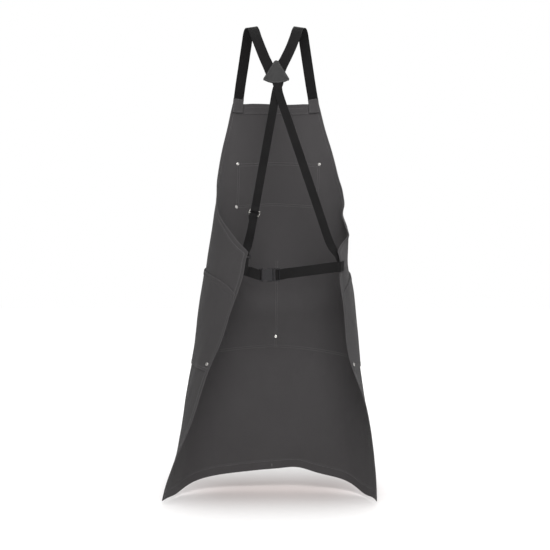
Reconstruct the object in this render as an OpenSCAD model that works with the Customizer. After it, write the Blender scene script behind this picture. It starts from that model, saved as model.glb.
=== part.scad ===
// Cross-back work apron in canvas, draped as it is worn: a bib with a chest pocket, a wrap
// skirt with a two-compartment hip pocket, webbing straps that cross under a back patch, a
// metal adjuster on one strap and a side-release buckle on the waist belt.
// +X is the wearer's right, +Y the wearer's front and +Z up. The origin is midway between
// the undersides of the two straps at the top of the shoulders.

/* [Canvas panel] */
// Length of the panel down its centre, from the bib's top edge to the hem
body_length = 950; // [900:5:980]
// Width of the bib's top edge
bib_width = 224; // [216:2:232]
// Width of the skirt laid flat
skirt_width = 700; // [690:2:710]
// Drop from the bib's top edge to the tips of the wings
armhole_drop = 346; // [340:1:352]
// How far each side edge of the bib slants outward before it sweeps into the wing
armhole_slant = 100; // [90:2:110]
// How far the bib's side edges are hollowed below the straps
armhole_hollow = 2.2; // [0:0.1:4]
// How much fuller the armhole's curve is just above the wings' tips
wing_fullness = 8; // [0:0.5:10]
// How much the wings' tips are blunted
tip_cut = 7; // [0:0.5:9]
// Thickness of the canvas
canvas_t = 1.2; // [0.8:0.1:1.4]
// Height of the bib's top edge below the shoulder rest
bib_drop = 172; // [168:1:176]
// Distance of the bib's top edge in front of the shoulder rest
bib_forward = 100; // [96:1:104]
// How much further forward the hem hangs than the bib
hem_forward = 24; // [16:1:32]
// How much lower the hem's corners hang than its centre
corner_droop = 45; // [35:1:55]

/* [Wrap of the left side] */
// Angle that the left side turns through at the bib's level
left_turn_bib = 120; // [100:1:130]
// The same angle at the chest
left_turn_chest = 215; // [205:1:220]
// The same angle at the waist
left_turn_waist = 176; // [170:1:180]
// The same angle at the hips
left_turn_hip = 138; // [130:1:145]
// The same angle at the thighs
left_turn_thigh = 112; // [100:1:120]
// The same angle at the hem
left_turn_hem = 74; // [66:1:82]

/* [Wrap of the right side] */
// Angle that the right side turns through at the bib's level
right_turn_bib = 40; // [30:1:50]
// The same angle at the chest
right_turn_chest = 146; // [140:1:150]
// The same angle at the waist
right_turn_waist = 126; // [122:1:130]
// The same angle at the hips
right_turn_hip = 108; // [102:1:114]
// The same angle at the thighs
right_turn_thigh = 85; // [78:1:92]
// The same angle at the hem
right_turn_hem = 80; // [72:1:88]

/* [Pockets] */
// Width of the chest pocket
chest_pocket_w = 218; // [200:2:220]
// Height of the chest pocket
chest_pocket_h = 118; // [110:1:126]
// Drop from the bib's top edge to the chest pocket's mouth
chest_pocket_drop = 146; // [140:1:152]
// How far the chest pocket's mouth stands open
chest_gape = 14; // [10:1:16]
// Drop from the bib's top edge to the hip pocket's mouth at the centre
hip_pocket_drop = 404; // [398:1:410]
// Drop from the bib's top edge to the hip pocket's bottom seam
hip_pocket_bottom = 632; // [620:1:645]
// How much lower the hip pocket's mouth sweeps at the side edges
hip_pocket_fall = 43; // [36:1:50]
// How far the hip pocket's mouths stand open
hip_gape = 18; // [14:1:20]

/* [Webbing and patch] */
// Width of the waist belt
wide_web = 25; // [24:0.5:26]
// Width of the shoulder straps
shoulder_web = 26; // [25:0.5:27]
// Thickness of the wide webbing
wide_web_t = 1.6; // [1.4:0.1:1.7]
// Width of the two lower straps
narrow_web = 20; // [19:0.5:20]
// Thickness of the narrow webbing
narrow_web_t = 1.4; // [1.2:0.1:1.4]
// Width of the back patch across its lower corners
patch_w = 62; // [58:1:63]
// Height of the back patch
patch_h = 55; // [52:1:58]
// Thickness of each of the patch's two layers
patch_t = 1.6; // [1.2:0.1:1.8]

/* [Hardware] */
// Diameter of the rivet caps
rivet_d = 9; // [8:0.5:10]
// Length of the buckle's socket
socket_l = 34; // [33:0.5:35]
// Width of the buckle, across the belt
buckle_w = 33; // [32:0.5:34]
// Thickness of the buckle's socket
buckle_t = 11; // [10.5:0.1:12]
// Radius of the slider's bars
slider_bar_r = 1; // [0.9:0.05:1]
// Width of the slider across the strap, outside
slider_w = 27.5; // [27:0.5:28]

/* [Hidden] */
// Where the side edge leaves its straight lines: [depth below the bib top, reach]
hollow_at = [62, 42];
fullness_at = [300, 32];
tip_cut_at = [352, 36];
$fn = 48;

// Gap left between sewn layers, and under the pockets
ply_gap = 0.4;
pocket_gap = 0.9;
half_skirt = skirt_width / 2;
// The turn of each side and the sideways sway of the centre line, from the bib's top edge
// to the hem at six equal steps
turn_left = [left_turn_bib, left_turn_chest, left_turn_waist, left_turn_hip, left_turn_thigh,
    left_turn_hem];
turn_right = [right_turn_bib, right_turn_chest, right_turn_waist, right_turn_hip,
    right_turn_thigh, right_turn_hem];
sway = [2, 2.5, -6.5, -9, -15, -8];
// How sharply the turn gathers at the wearer's sides
turn_power = 1.5;
arc_steps = 24;
panel_columns = 60;
armhole_rows = 9;
skirt_rows = 18;

chest_pocket_middle = 6;
facing_h = 26;
tab_w = 26;
hip_pocket_half = half_skirt - 4;
strap_inset = 98;
strap_overlap = 22;
// The left shoulder strap's middle line from the bib to the patch: the right one mirrors it
shoulder_route = [[-90.2, 82, -126], [-82.2, 66, -80], [-74.3, 45, -36], [-68.3, 21, -7],
    [-64.3, 6, 0.2], [-60.8, -4, 0.8], [-57.7, -15, -1.3], [-53.2, -33, -12], [-47, -58, -35],
    [-36.8, -86, -67], [-24.5, -102, -98], [-18, -105.2, -112], [-13, -106.4, -124]];

// How steeply the droop of the hem's corners sets in, sideways and down the cloth
droop_power = 1.4;
droop_onset = 5;
// Broad swells and hollows of the hanging cloth: middle s and v, spread in s and v, height
swells = [[-270, 735, 90, 135, 7.5], [-215, 330, 80, 110, -3], [-350, 556, 42, 52, -9],
    [262, 600, 90, 150, 4.5], [250, 388, 60, 45, -8], [250, 268, 46, 20, -14],
    [215, 204, 40, 18, 4.5], [302, 313, 34, 16, 16], [350, 356, 44, 42, 9],
    [-205, 228, 50, 30, -3.5], [-250, 505, 70, 60, 3], [350, 590, 45, 90, -16]];
// Where the hem sags or rides up: s, spread and drop
hem_sags = [[262, 48, 15], [66, 46, -10], [-275, 52, 13]];

// The patch's plane leans back a little from the vertical
patch_lean = 5;
patch_centre = [3, -107, -130];

// The left lower strap is straight between these two points, where its slider runs
slide_top = [4.4, -107.3, -170];
slide_end = [-58.5, -42, -505];
slider_place = 0.875;
slider_skew = 13;

// Where the belt and the ring's tab are sewn to the left wing, and the belt to the right one
left_belt_drop = 389;
right_belt_drop = 381;
ring_at = [-338, 358];
ring_gap = 7;
ring_bar_r = 1.2;
ring_inner_w = 23;
ring_pitch = 10;

// The buckle lies along X; its mouth is where plug and socket meet
mouth = [-5, -56, -613.5];
plug_l = 17;
prong_root = 10.2;
running_gap = 0.3;

canvas_colour = [0.27, 0.265, 0.27];
webbing_colour = [0.12, 0.12, 0.125];
patch_colour = [0.29, 0.29, 0.29];
plastic_colour = [0.13, 0.13, 0.14];
metal_colour = [0.75, 0.74, 0.72];
thread_colour = [0.5, 0.5, 0.5];

// Panel surface -----------------------------------------------------------------------------
// A point of the flat panel is given by s, its distance from the centre line (positive on the
// wearer's right), and v, its distance below the bib's top edge.

// A smooth curve through equally spaced values, read at u from 0 to 1
function level(values, u) =
    let (n = len(values) - 1)
    let (x = min(max(u, 0), 1) * n)
    let (i = min(floor(x), n - 1))
    curve4(values[max(i - 1, 0)], values[i], values[i + 1], values[min(i + 2, n)], x - i);
function curve4(a, b, c, d, f) =
    (2 * b + (c - a) * f + (2 * a - 5 * b + 4 * c - d) * f ^ 2
        + (3 * b - a - 3 * c + d) * f ^ 3) / 2;

function half_width(v) =
    let (u = min(max(v, 0) / armhole_drop, 1))
    bib_width / 2 + armhole_slant * u + (half_skirt - bib_width / 2 - armhole_slant) * u ^ 5
        - armhole_hollow * bump(v, hollow_at[0], hollow_at[1])
        + wing_fullness * bump(v, fullness_at[0], fullness_at[1])
        - tip_cut * bump(v, tip_cut_at[0], tip_cut_at[1]);
function gather(t) = (t * t * (3 - 2 * t)) ^ turn_power;
function whole_turn(s, v) = level(s < 0 ? turn_left : turn_right, v / body_length);
function turn_at(s, v) = whole_turn(s, v) * gather(min(abs(s) / half_skirt, 1));
function hand(s) = s < 0 ? -1 : 1;

// Distance out to the side and back towards the wearer, walked along the cloth
function walk(s, v) =
    let (ds = abs(s) / arc_steps)
    let (whole = whole_turn(s, v))
    [for (i = 0, x = 0, y = 0;
        i <= arc_steps;
        x = x + ds * cos(whole * gather(min((i + 0.5) * ds / half_skirt, 1))),
        y = y - ds * sin(whole * gather(min((i + 0.5) * ds / half_skirt, 1))),
        i = i + 1) [x, y]][arc_steps];
function droop(u) = corner_droop * (1 - (1 - u) ^ droop_onset);
function bump(x, middle, spread) = exp(-((x - middle) / spread) ^ 2);
// How far the broad swells and hollows of the hanging cloth stand out at s, v
function swell(s, v, i = 0) = i == len(swells) ? 0 :
    let (w = swells[i])
    w[4] * bump(s, w[0], w[2]) * bump(v, w[1], w[3]) + swell(s, v, i + 1);
// How much lower the cloth hangs where the hem sags
function sag(s, u, i = 0) = i == len(hem_sags) ? 0 :
    hem_sags[i][2] * bump(s, hem_sags[i][0], hem_sags[i][1]) * u ^ 6 + sag(s, u, i + 1);
function panel_normal(s, v) = [hand(s) * sin(turn_at(s, v)), cos(turn_at(s, v)), 0];
// The panel's inner face, or a point at height n out from it
function on_panel(s, v, n = 0) =
    let (u = v / body_length)
    let (p = walk(s, v))
    [hand(s) * p[0] + level(sway, u),
        p[1] + bib_forward + hem_forward * (1 - (1 - u) ^ 2),
        -bib_drop - v - sag(s, u) - droop(max(u, 0)) * (abs(s) / half_skirt) ^ droop_power]
        + (n + swell(s, v)) * panel_normal(s, v);
// The outward normal of the cloth with its lean, for what is sewn flat on it
function lean_normal(s, v) =
    unit(cross(on_panel(s + 4, v) - on_panel(s - 4, v), on_panel(s, v + 8) - on_panel(s, v - 8)));
function over_panel(s, v, n) = on_panel(s, v) + n * lean_normal(s, v);

// Sheets and ribbons ------------------------------------------------------------------------
function unit(a) = a / norm(a);
function mirrored(points) = [for (p = points) [-p[0], p[1], p[2]]];

// Two triangles of a four-sided face, listed clockwise as seen from outside
function quad(a, b, c, d) = [[a, b, c], [a, c, d]];
function sheet_faces(rows, cols) =
    let (back = rows * cols)
    let (last = (rows - 1) * cols)
    concat(
        [for (r = [0 : rows - 2], c = [0 : cols - 2])
            let (k = r * cols + c) each quad(k, k + cols, k + cols + 1, k + 1)],
        [for (r = [0 : rows - 2], c = [0 : cols - 2])
            let (k = back + r * cols + c) each quad(k, k + 1, k + cols + 1, k + cols)],
        [for (c = [0 : cols - 2]) each quad(c, c + 1, back + c + 1, back + c)],
        [for (c = [last : last + cols - 2]) each quad(c, back + c, back + c + 1, c + 1)],
        [for (r = [0 : rows - 2])
            let (k = r * cols) each quad(k, back + k, back + k + cols, k + cols)],
        [for (r = [0 : rows - 2])
            let (k = r * cols + cols - 1) each quad(k, k + cols, back + k + cols, back + k)]);

// A closed sheet between two grids of points, rows running down and columns towards +X
module sheet(front, back) {
    polyhedron(
        points = concat([for (row = front) each row], [for (row = back) each row]),
        faces = sheet_faces(len(front), len(front[0])));
}

// A patch of cloth on the panel; near and far give its two faces' heights at each point
module cloth(grid, heights, thickness) {
    sheet(
        [for (r = [0 : len(grid) - 1]) [for (c = [0 : len(grid[0]) - 1])
            on_panel(grid[r][c][0], grid[r][c][1], heights[r][c] + thickness)]],
        [for (r = [0 : len(grid) - 1]) [for (c = [0 : len(grid[0]) - 1])
            on_panel(grid[r][c][0], grid[r][c][1], heights[r][c])]]);
}

function tangent(path, i) = unit(path[min(i + 1, len(path) - 1)] - path[max(i - 1, 0)]);
function square_to(n, t) = unit(n - (n * t) * t);

// Flat webbing along a path of middle points, faced by the given normals
module ribbon(path, normals, width, thickness) {
    t = [for (i = [0 : len(path) - 1]) tangent(path, i)];
    n = [for (i = [0 : len(path) - 1]) square_to(normals[i], t[i])];
    c = [for (i = [0 : len(path) - 1]) cross(t[i], n[i]) * width / 2];
    h = thickness / 2;
    sheet(
        [for (i = [0 : len(path) - 1]) [path[i] - c[i] + h * n[i], path[i] + c[i] + h * n[i]]],
        [for (i = [0 : len(path) - 1]) [path[i] - c[i] - h * n[i], path[i] + c[i] - h * n[i]]]);
}
// The same points and normals with more steps between them
function finer(values, steps) =
    [for (i = [0 : steps]) level(values, i / steps)];

// Canvas pieces -----------------------------------------------------------------------------
panel_levels = concat(
    [for (i = [0 : armhole_rows]) armhole_drop * i / armhole_rows],
    [for (i = [1 : skirt_rows])
        armhole_drop + (body_length - armhole_drop) * i / skirt_rows]);

module apron_panel() {
    grid = [for (v = panel_levels) [for (j = [0 : panel_columns])
        [half_width(v) * (2 * j / panel_columns - 1), v]]];
    flat = [for (row = grid) [for (p = row) 0]];
    color(canvas_colour) cloth(grid, flat, canvas_t);
}

module bib_facing() {
    half = strap_inset - tab_w / 2 - 1;
    grid = [for (v = [0, facing_h / 2, facing_h]) [for (j = [-5 : 5]) [half * j / 5, v]]];
    inside = [for (row = grid) [for (p = row) -ply_gap - canvas_t]];
    color(canvas_colour) cloth(grid, inside, canvas_t);
}

module chest_pocket() {
    half = chest_pocket_w / 2;
    grid = [for (i = [0 : 6]) [for (j = [-7 : 7])
        [chest_pocket_middle + half * j / 7, chest_pocket_drop + chest_pocket_h * i / 6]]];
    bulge = [for (i = [0 : 6]) [for (j = [-7 : 7])
        canvas_t + pocket_gap + chest_gape * (1 - (j / 7) ^ 2) * (1 - i / 6) ^ 1.5]];
    color(canvas_colour) cloth(grid, bulge, canvas_t);
}

// The mouth runs straight across the front and sweeps down towards the side edges
function hip_mouth(s) = hip_pocket_drop + hip_pocket_fall * (abs(s) / hip_pocket_half) ^ 6;
// Each compartment bulges most a quarter of the way from the centre seam to the side edge
function hip_bulge(s, k) =
    hip_gape * sin(180 * sqrt(min(abs(s) / hip_pocket_half, 1))) ^ 4 * (1 - k) ^ 1.5;

module hip_pocket() {
    rows = 7;
    columns = [for (j = [0 : panel_columns])
        max(-hip_pocket_half, min(hip_pocket_half, half_skirt * (2 * j / panel_columns - 1)))];
    grid = [for (i = [0 : rows]) [for (s = columns)
        [s, hip_mouth(s) + (hip_pocket_bottom - hip_mouth(s)) * i / rows]]];
    bulge = [for (i = [0 : rows]) [for (s = columns)
        canvas_t + pocket_gap + hip_bulge(s, i / rows)]];
    color(canvas_colour) cloth(grid, bulge, canvas_t);
}

// Shoulder straps ---------------------------------------------------------------------------
strap_depth = ply_gap + wide_web_t / 2;
function strap_foot(side) =
    [over_panel(side * (strap_inset + 2), strap_overlap, -strap_depth - 0.6),
        over_panel(side * (strap_inset + 1), 8, -strap_depth - 0.9),
        over_panel(side * (strap_inset - 1), -8, -strap_depth - 2)];
function shoulder_path(side) =
    concat(strap_foot(side), side < 0 ? shoulder_route : mirrored(shoulder_route));
// Webbing faces away from the wearer all the way over the shoulder
function shoulder_normals(side) =
    let (p = shoulder_path(side))
    [for (i = [0 : len(p) - 1])
        let (t = tangent(p, i))
        i < 2 ? lean_normal(side * strap_inset, 10) : unit([0, t[2], -t[1]])];

module shoulder_strap(side) {
    color(webbing_colour)
        ribbon(finer(shoulder_path(side), 36), finer(shoulder_normals(side), 36),
            shoulder_web, wide_web_t);
}
module shoulder_strap_left() {
    shoulder_strap(-1);
}
module shoulder_strap_right() {
    shoulder_strap(1);
}

// A canvas tab over the strap's foot, on the wearer's side
module strap_tab(side) {
    steps = 6;
    share = 0.15;
    path = [for (i = [0 : steps]) level(shoulder_path(side), share * i / steps)];
    normals = [for (i = [0 : steps]) level(shoulder_normals(side), share * i / steps)];
    drop = wide_web_t / 2 + ply_gap + canvas_t / 2 + 0.1;
    color(canvas_colour)
        ribbon([for (i = [0 : steps]) path[i] - drop * unit(normals[i])], normals,
            tab_w, canvas_t);
}
module strap_tab_left() {
    strap_tab(-1);
}
module strap_tab_right() {
    strap_tab(1);
}

// Back patch --------------------------------------------------------------------------------
patch_normal = [0, -cos(patch_lean), sin(patch_lean)];
function on_patch(x, z, n) =
    patch_centre + [x, 0, 0] + z * [0, sin(patch_lean), cos(patch_lean)] + n * patch_normal;

module patch_outline() {
    corner_r = 3.2;
    apex_r = 7;
    bow_r = 58;
    hull() {
        translate([0, patch_h / 2 - apex_r]) circle(apex_r, $fn = 32);
        for (side = [-1, 1])
            translate([side * (patch_w / 2 - corner_r), 9.6 - patch_h / 2])
                circle(corner_r, $fn = 32);
        intersection() {
            translate([0, bow_r - patch_h / 2]) circle(bow_r, $fn = 128);
            translate([-26, -patch_h / 2]) square([52, 10]);
        }
    }
}
module patch_layer(n) {
    color(patch_colour)
        translate(on_patch(0, 0, n))
            rotate([90 - patch_lean, 0, 0])
                linear_extrude(patch_t) patch_outline();
}
module back_patch_outer() {
    patch_layer(narrow_web_t + ply_gap);
}
module back_patch_inner() {
    patch_layer(-narrow_web_t - ply_gap - patch_t);
}

// Lower straps ------------------------------------------------------------------------------
slide_dir = unit(slide_end - slide_top);
strap_normal = unit([0, slide_dir[2], -slide_dir[1]]);
cross_offset = narrow_web_t / 2 + 0.1;
sewn_depth = ply_gap + narrow_web_t / 2 + 0.3;

// The ring's frame on the left wing: middle, across, down and towards the wing
ring_middle = on_panel(ring_at[0], ring_at[1], -ring_gap);
ring_out = lean_normal(ring_at[0], ring_at[1] + 12);
ring_down = square_to([-0.06, 0, -1], ring_out);
ring_across = cross(ring_down, ring_out);
ring_top_bar = ring_middle - ring_down * ring_pitch / 2;
ring_low_bar = ring_middle + ring_down * ring_pitch / 2;

// The left strap turns round the ring's top bar and comes up again in front of it
web_turn_r = ring_bar_r + 0.25 + narrow_web_t / 2;
turn_path = [for (a = [180 : -30 : 0])
    ring_top_bar + web_turn_r * (cos(a) * ring_out + sin(a) * ring_down)];
turn_faces = [for (a = [180 : -30 : 0]) -(cos(a) * ring_out + sin(a) * ring_down)];
return_foot = turn_path[len(turn_path) - 1] - 8 * ring_down;

module lower_strap_left() {
    behind = ring_top_bar - web_turn_r * ring_out;
    path = concat(
        [on_patch(10.5, -3, -cross_offset), on_patch(6.5, -29, -cross_offset)],
        [for (i = [0 : 6]) slide_top + (slide_end - slide_top) * i / 6],
        [behind - 20 * ring_down + [4, 1.2, 0], behind - 8 * ring_down],
        turn_path,
        [return_foot + 2 * ring_down]);
    straight = [for (i = [0 : 6]) strap_normal];
    normals = concat([patch_normal, patch_normal], straight,
        [ring_out, ring_out], turn_faces, [-ring_out]);
    color(webbing_colour) ribbon(path, normals, narrow_web, narrow_web_t);
}

// The right lower strap is straight between these two points
right_top = [9, -108, -180];
right_end = [130, -78, -531];
module lower_strap_right() {
    path = concat(
        [on_patch(-7.5, -3, cross_offset), on_patch(3.5, -36, cross_offset)],
        [for (i = [0 : 5]) right_top + (right_end - right_top) * i / 5],
        [[137, -79, -546], [143, -80, -556]],
        [over_panel(345, 353, -sewn_depth - 2), over_panel(343, 363, -sewn_depth - 1.2),
            over_panel(338, 376, -sewn_depth - 0.6), over_panel(333, 388, -sewn_depth - 0.6)]);
    wing = lean_normal(340, 350);
    normals = concat([patch_normal, patch_normal], [for (i = [0 : 5]) [0, -1, -0.09]],
        [unit(wing + [-0.6, -1.2, 0]), unit(wing + [-0.2, -0.6, 0])],
        [wing, wing, wing, wing]);
    color(webbing_colour) ribbon(path, normals, narrow_web, narrow_web_t);
}

// Strap slider ------------------------------------------------------------------------------
// Its two end bars lie behind the strap and its raised middle bar in front of it
slider_middle = slide_top + (slide_end - slide_top) * slider_place;
slider_pitch = 5.6;
end_bar_depth = narrow_web_t / 2 + running_gap + slider_bar_r;
loop_r = slider_bar_r + 0.2;
middle_bar_rise = narrow_web_t / 2 + running_gap + narrow_web_t + loop_r;

// The slider sits a little askew on its strap
strap_across = cross(slide_dir, strap_normal);
skew_dir = cos(slider_skew) * slide_dir + sin(slider_skew) * strap_across;

// Stands its children at a point, on three square directions
module in_frame(origin, x, y, z) {
    multmatrix([
        [x[0], y[0], z[0], origin[0]],
        [x[1], y[1], z[1], origin[1]],
        [x[2], y[2], z[2], origin[2]],
        [0, 0, 0, 1]])
        children();
}
module slider_bar(y, z) {
    translate([-slider_w / 2 + slider_bar_r, y, z])
        rotate([0, 90, 0]) cylinder(h = slider_w - 2 * slider_bar_r, r = slider_bar_r);
}
module slider_rail(side) {
    x = side * (slider_w / 2 - slider_bar_r);
    for (way = [-1, 1])
        hull() {
            translate([x, 0, middle_bar_rise]) sphere(slider_bar_r, $fn = 16);
            translate([x, way * slider_pitch, -end_bar_depth]) sphere(slider_bar_r, $fn = 16);
        }
}
module strap_slider() {
    color(metal_colour)
        in_frame(slider_middle, cross(skew_dir, strap_normal), skew_dir, strap_normal) {
            slider_bar(0, middle_bar_rise);
            slider_bar(-slider_pitch, -end_bar_depth);
            slider_bar(slider_pitch, -end_bar_depth);
            slider_rail(-1);
            slider_rail(1);
        }
}

// The end of the left strap, doubled back from the ring to the slider's middle bar
module adjuster_return() {
    bar = slider_middle + middle_bar_rise * strap_normal;
    r = loop_r + narrow_web_t / 2;
    faces = [for (a = [-10 : 25 : 115]) cos(a) * strap_normal - sin(a) * skew_dir];
    path = concat(
        [return_foot, return_foot - 14 * ring_down + [3.4, -2, 0]],
        [for (d = [40, 24, 14]) slider_middle + d * slide_dir
            + (narrow_web_t + (d > 30 ? 1.3 : 0.5)) * strap_normal],
        [slider_middle + 6.5 * skew_dir + (middle_bar_rise + 0.6) * strap_normal],
        [for (f = faces) bar + r * f]);
    normals = concat([ring_out, ring_out], [for (i = [0 : 3]) strap_normal], faces);
    color(webbing_colour) ribbon(path, normals, narrow_web, narrow_web_t);
}

// Ring on the left wing ---------------------------------------------------------------------
module side_ring() {
    half = ring_inner_w / 2 + ring_bar_r;
    color(plastic_colour) in_frame(ring_middle, ring_across, ring_down, ring_out) {
        for (y = [-1, 1] * ring_pitch / 2)
            translate([-half, y, 0]) rotate([0, 90, 0]) cylinder(h = 2 * half, r = ring_bar_r);
        for (x = [-half, half]) {
            translate([x, -ring_pitch / 2, 0]) rotate([-90, 0, 0])
                cylinder(h = ring_pitch, r = ring_bar_r);
            for (y = [-1, 1] * ring_pitch / 2) translate([x, y, 0]) sphere(ring_bar_r, $fn = 24);
        }
    }
}
// Short webbing folded over the ring's low bar and sewn flat inside the wing
module side_ring_tab() {
    r = ring_bar_r + 0.2 + narrow_web_t / 2;
    turn = [for (a = [0 : 30 : 180])
        ring_low_bar + r * (cos(a) * ring_out - sin(a) * ring_down)];
    faces = [for (a = [0 : 30 : 180]) cos(a) * ring_out - sin(a) * ring_down];
    path = concat(
        [turn[0] + 26 * ring_down, turn[0] + 13 * ring_down],
        turn,
        [turn[6] + 10 * ring_down]);
    color(webbing_colour)
        ribbon(path, concat([ring_out, ring_out], faces, [-ring_out]),
            narrow_web, narrow_web_t);
}

// Waist belt --------------------------------------------------------------------------------
socket_bar_x = mouth[0] - socket_l + 2;
belt_depth = ply_gap + wide_web_t / 2;

// Left half: from inside the left wing, round the socket's bar and back along itself
module belt_left() {
    r = socket_bar_r + running_gap + 0.15 + wide_web_t / 2;
    bar = [socket_bar_x, mouth[1], mouth[2]];
    turn = [for (a = [-90 : 30 : 90]) bar + r * [cos(a), sin(a), 0]];
    faces = [for (a = [-90 : 30 : 90]) [cos(a), sin(a), 0]];
    sewn = [-318, -327, -336, -345];
    near_bar = [[-44, -58.2, -612.3], [-39.5, bar[1] - r, -613.4]];
    path = concat(
        [for (s = sewn) over_panel(s, left_belt_drop, -belt_depth - 1.2)],
        [over_panel(-half_skirt, left_belt_drop, -belt_depth - 1.2) + [6, -0.4, -1.6],
            [-61, -49.5, -606.4], [-52, -54.8, -609.4]],
        [for (p = near_bar) p],
        turn,
        [for (i = [1, 0]) near_bar[i] + [0, 3.2 + 1.8 * i, 0]],
        [[-52, -51.6, -609.4], [-61, -46.3, -606.4]]);
    normals = concat([for (s = sewn) lean_normal(s, left_belt_drop)],
        [lean_normal(-345, left_belt_drop), for (i = [0 : 3]) [0, -1, 0]],
        faces, [for (i = [0 : 3]) [0, 1, 0]]);
    color(webbing_colour) ribbon(path, normals, wide_web, wide_web_t);
}

// Right half: from outside the right wing, behind the plug's end bar, through to the front
// and round its middle bar
plug_bar_r = 1.1;
plug_bar_x = mouth[0] + 9.2;
plug_end_x = mouth[0] + plug_l - 1.3;
belt_lift = plug_bar_r + running_gap + wide_web_t / 2;
function by_plug(x, y, z = 0) = [x, mouth[1] + y, mouth[2] + z];
module belt_right() {
    near = [18, -54.6, -611.5];
    far = [137, -81, -596];
    path = concat(
        [for (a = [90 : 36 : 270])
            by_plug(plug_bar_x + belt_lift * cos(a), belt_lift * sin(a))],
        [by_plug(plug_bar_x + 1.4, -belt_lift), by_plug(plug_end_x - 1.4, belt_lift),
            by_plug(plug_end_x + 1, belt_lift, 0.2)],
        [for (i = [0 : 5]) near + (far - near) * i / 5],
        [[147, -85.2, -595], [152, -87.5, -594.8]],
        [for (s = [349, 345, 339, 331]) over_panel(s, right_belt_drop,
            canvas_t + belt_depth + (s > 345 ? 1.2 : 0.3))]);
    wing = lean_normal(334, right_belt_drop);
    normals = concat(
        [for (a = [90 : 36 : 270]) [cos(a), sin(a), 0]],
        [for (i = [0 : 8]) [0, -1, 0]], [unit([0.1, -1, 0]), unit([0.3, -1, 0])],
        [unit(wing + [0, -0.4, 0]), wing, wing, wing]);
    color(webbing_colour) ribbon(path, normals, wide_web, wide_web_t);
}

// The belt's free tail, on the wearer's side of the right half
module belt_tail() {
    apart = belt_lift + wide_web_t + 0.4;
    path = [by_plug(plug_bar_x + 2.2, belt_lift + 0.7), by_plug(plug_end_x - 1, apart),
        by_plug(plug_end_x + 5, apart, 0.3), [28, -53.7, -610], [52, -59, -607],
        [78, -64.8, -603.6]];
    color(webbing_colour)
        ribbon(path, [for (p = path) [0, -1, 0]], wide_web, wide_web_t);
}

// Buckle ------------------------------------------------------------------------------------
module rounded_rect(w, h, r) {
    square([w - 2 * r, h], center = true);
    square([w, h - 2 * r], center = true);
    for (x = [-1, 1], y = [-1, 1])
        translate([x * (w / 2 - r), y * (h / 2 - r)]) circle(r);
}
// A slab across the buckle's thickness, from x0 to x1 counted from its mouth
module slab(x0, x1, w, t, r) {
    translate([mouth[0] + (x0 + x1) / 2, mouth[1] + t / 2, mouth[2]])
        rotate([90, 0, 0]) linear_extrude(t) rounded_rect(x1 - x0, w, r);
}

cavity_w = 27;
cavity_t = 7.4;
socket_bar_r = 1.5;
window_x = -18.5;
window_r = 5.2;
rail_w = 2.6;
// Rails that carry the bars, at both edges of the buckle
module rails(x0, x1, t) {
    for (side = [-1, 1])
        translate([0, 0, side * (buckle_w / 2 - 0.8 - rail_w / 2)]) slab(x0, x1, rail_w, t, 1);
}
module cross_bar(x, r) {
    translate([x, mouth[1], mouth[2] - buckle_w / 2 + 1.2]) cylinder(h = buckle_w - 2.4, r = r);
}

module buckle_socket() {
    color(plastic_colour) {
        difference() {
            slab(6 - socket_l, 0, buckle_w, buckle_t, 3);
            slab(7.9 - socket_l, 1, cavity_w, cavity_t, 0.5);
            for (side = [-1, 1])
                translate(mouth + [window_x, buckle_t, side * buckle_w / 2])
                    rotate([90, 0, 0]) cylinder(h = 2 * buckle_t, r = window_r);
        }
        rails(-socket_l, 8 - socket_l, 7);
        cross_bar(socket_bar_x, socket_bar_r);
    }
}

module buckle_plug() {
    color(plastic_colour) {
        slab(running_gap, 5, buckle_w - 1, 9, 1);
        slab(-16, 1, 7, 3.2, 1);
        rails(4, plug_l, 7);
        cross_bar(plug_bar_x, plug_bar_r);
        cross_bar(plug_end_x, plug_bar_r);
    }
}

// The upper prong: a springy arm that swings about its root and ends in a rounded catch
module prong() {
    arm_t = 4.4;
    root = [-1.8, 0];
    catch_at = [-17, 0.9];
    outline = [[-1.8, -1.1], [-1.8, 1.1], [-12, 2.1], [-17, 2.1], [-17, -0.4], [-12, -0.4]];
    translate([mouth[0], mouth[1] + arm_t / 2, mouth[2] + prong_root])
        rotate([90, 0, 0]) {
            translate(root) cylinder(h = arm_t, r = 1.5);
            linear_extrude(arm_t) polygon(outline);
            translate(catch_at) cylinder(h = arm_t, r = 1.6);
        }
}
module plug_prong_upper() {
    color(plastic_colour) prong();
}
module plug_prong_lower() {
    color(plastic_colour)
        translate([0, 0, 2 * mouth[2]]) mirror([0, 0, 1]) prong();
}

// Rivets and bar tacks ----------------------------------------------------------------------
chest_rivet_spots = [for (i = [-1, 1], v = [chest_pocket_drop + 4,
    chest_pocket_drop + chest_pocket_h - 4])
    [chest_pocket_middle + i * (chest_pocket_w / 2 - 3), v]];
hip_rivet_spots = [[-hip_pocket_half + 8, hip_pocket_bottom - 17],
    [12, hip_pocket_bottom - 30], [hip_pocket_half - 8, hip_pocket_bottom - 15]];
pocket_face = 2 * canvas_t + pocket_gap;

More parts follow.
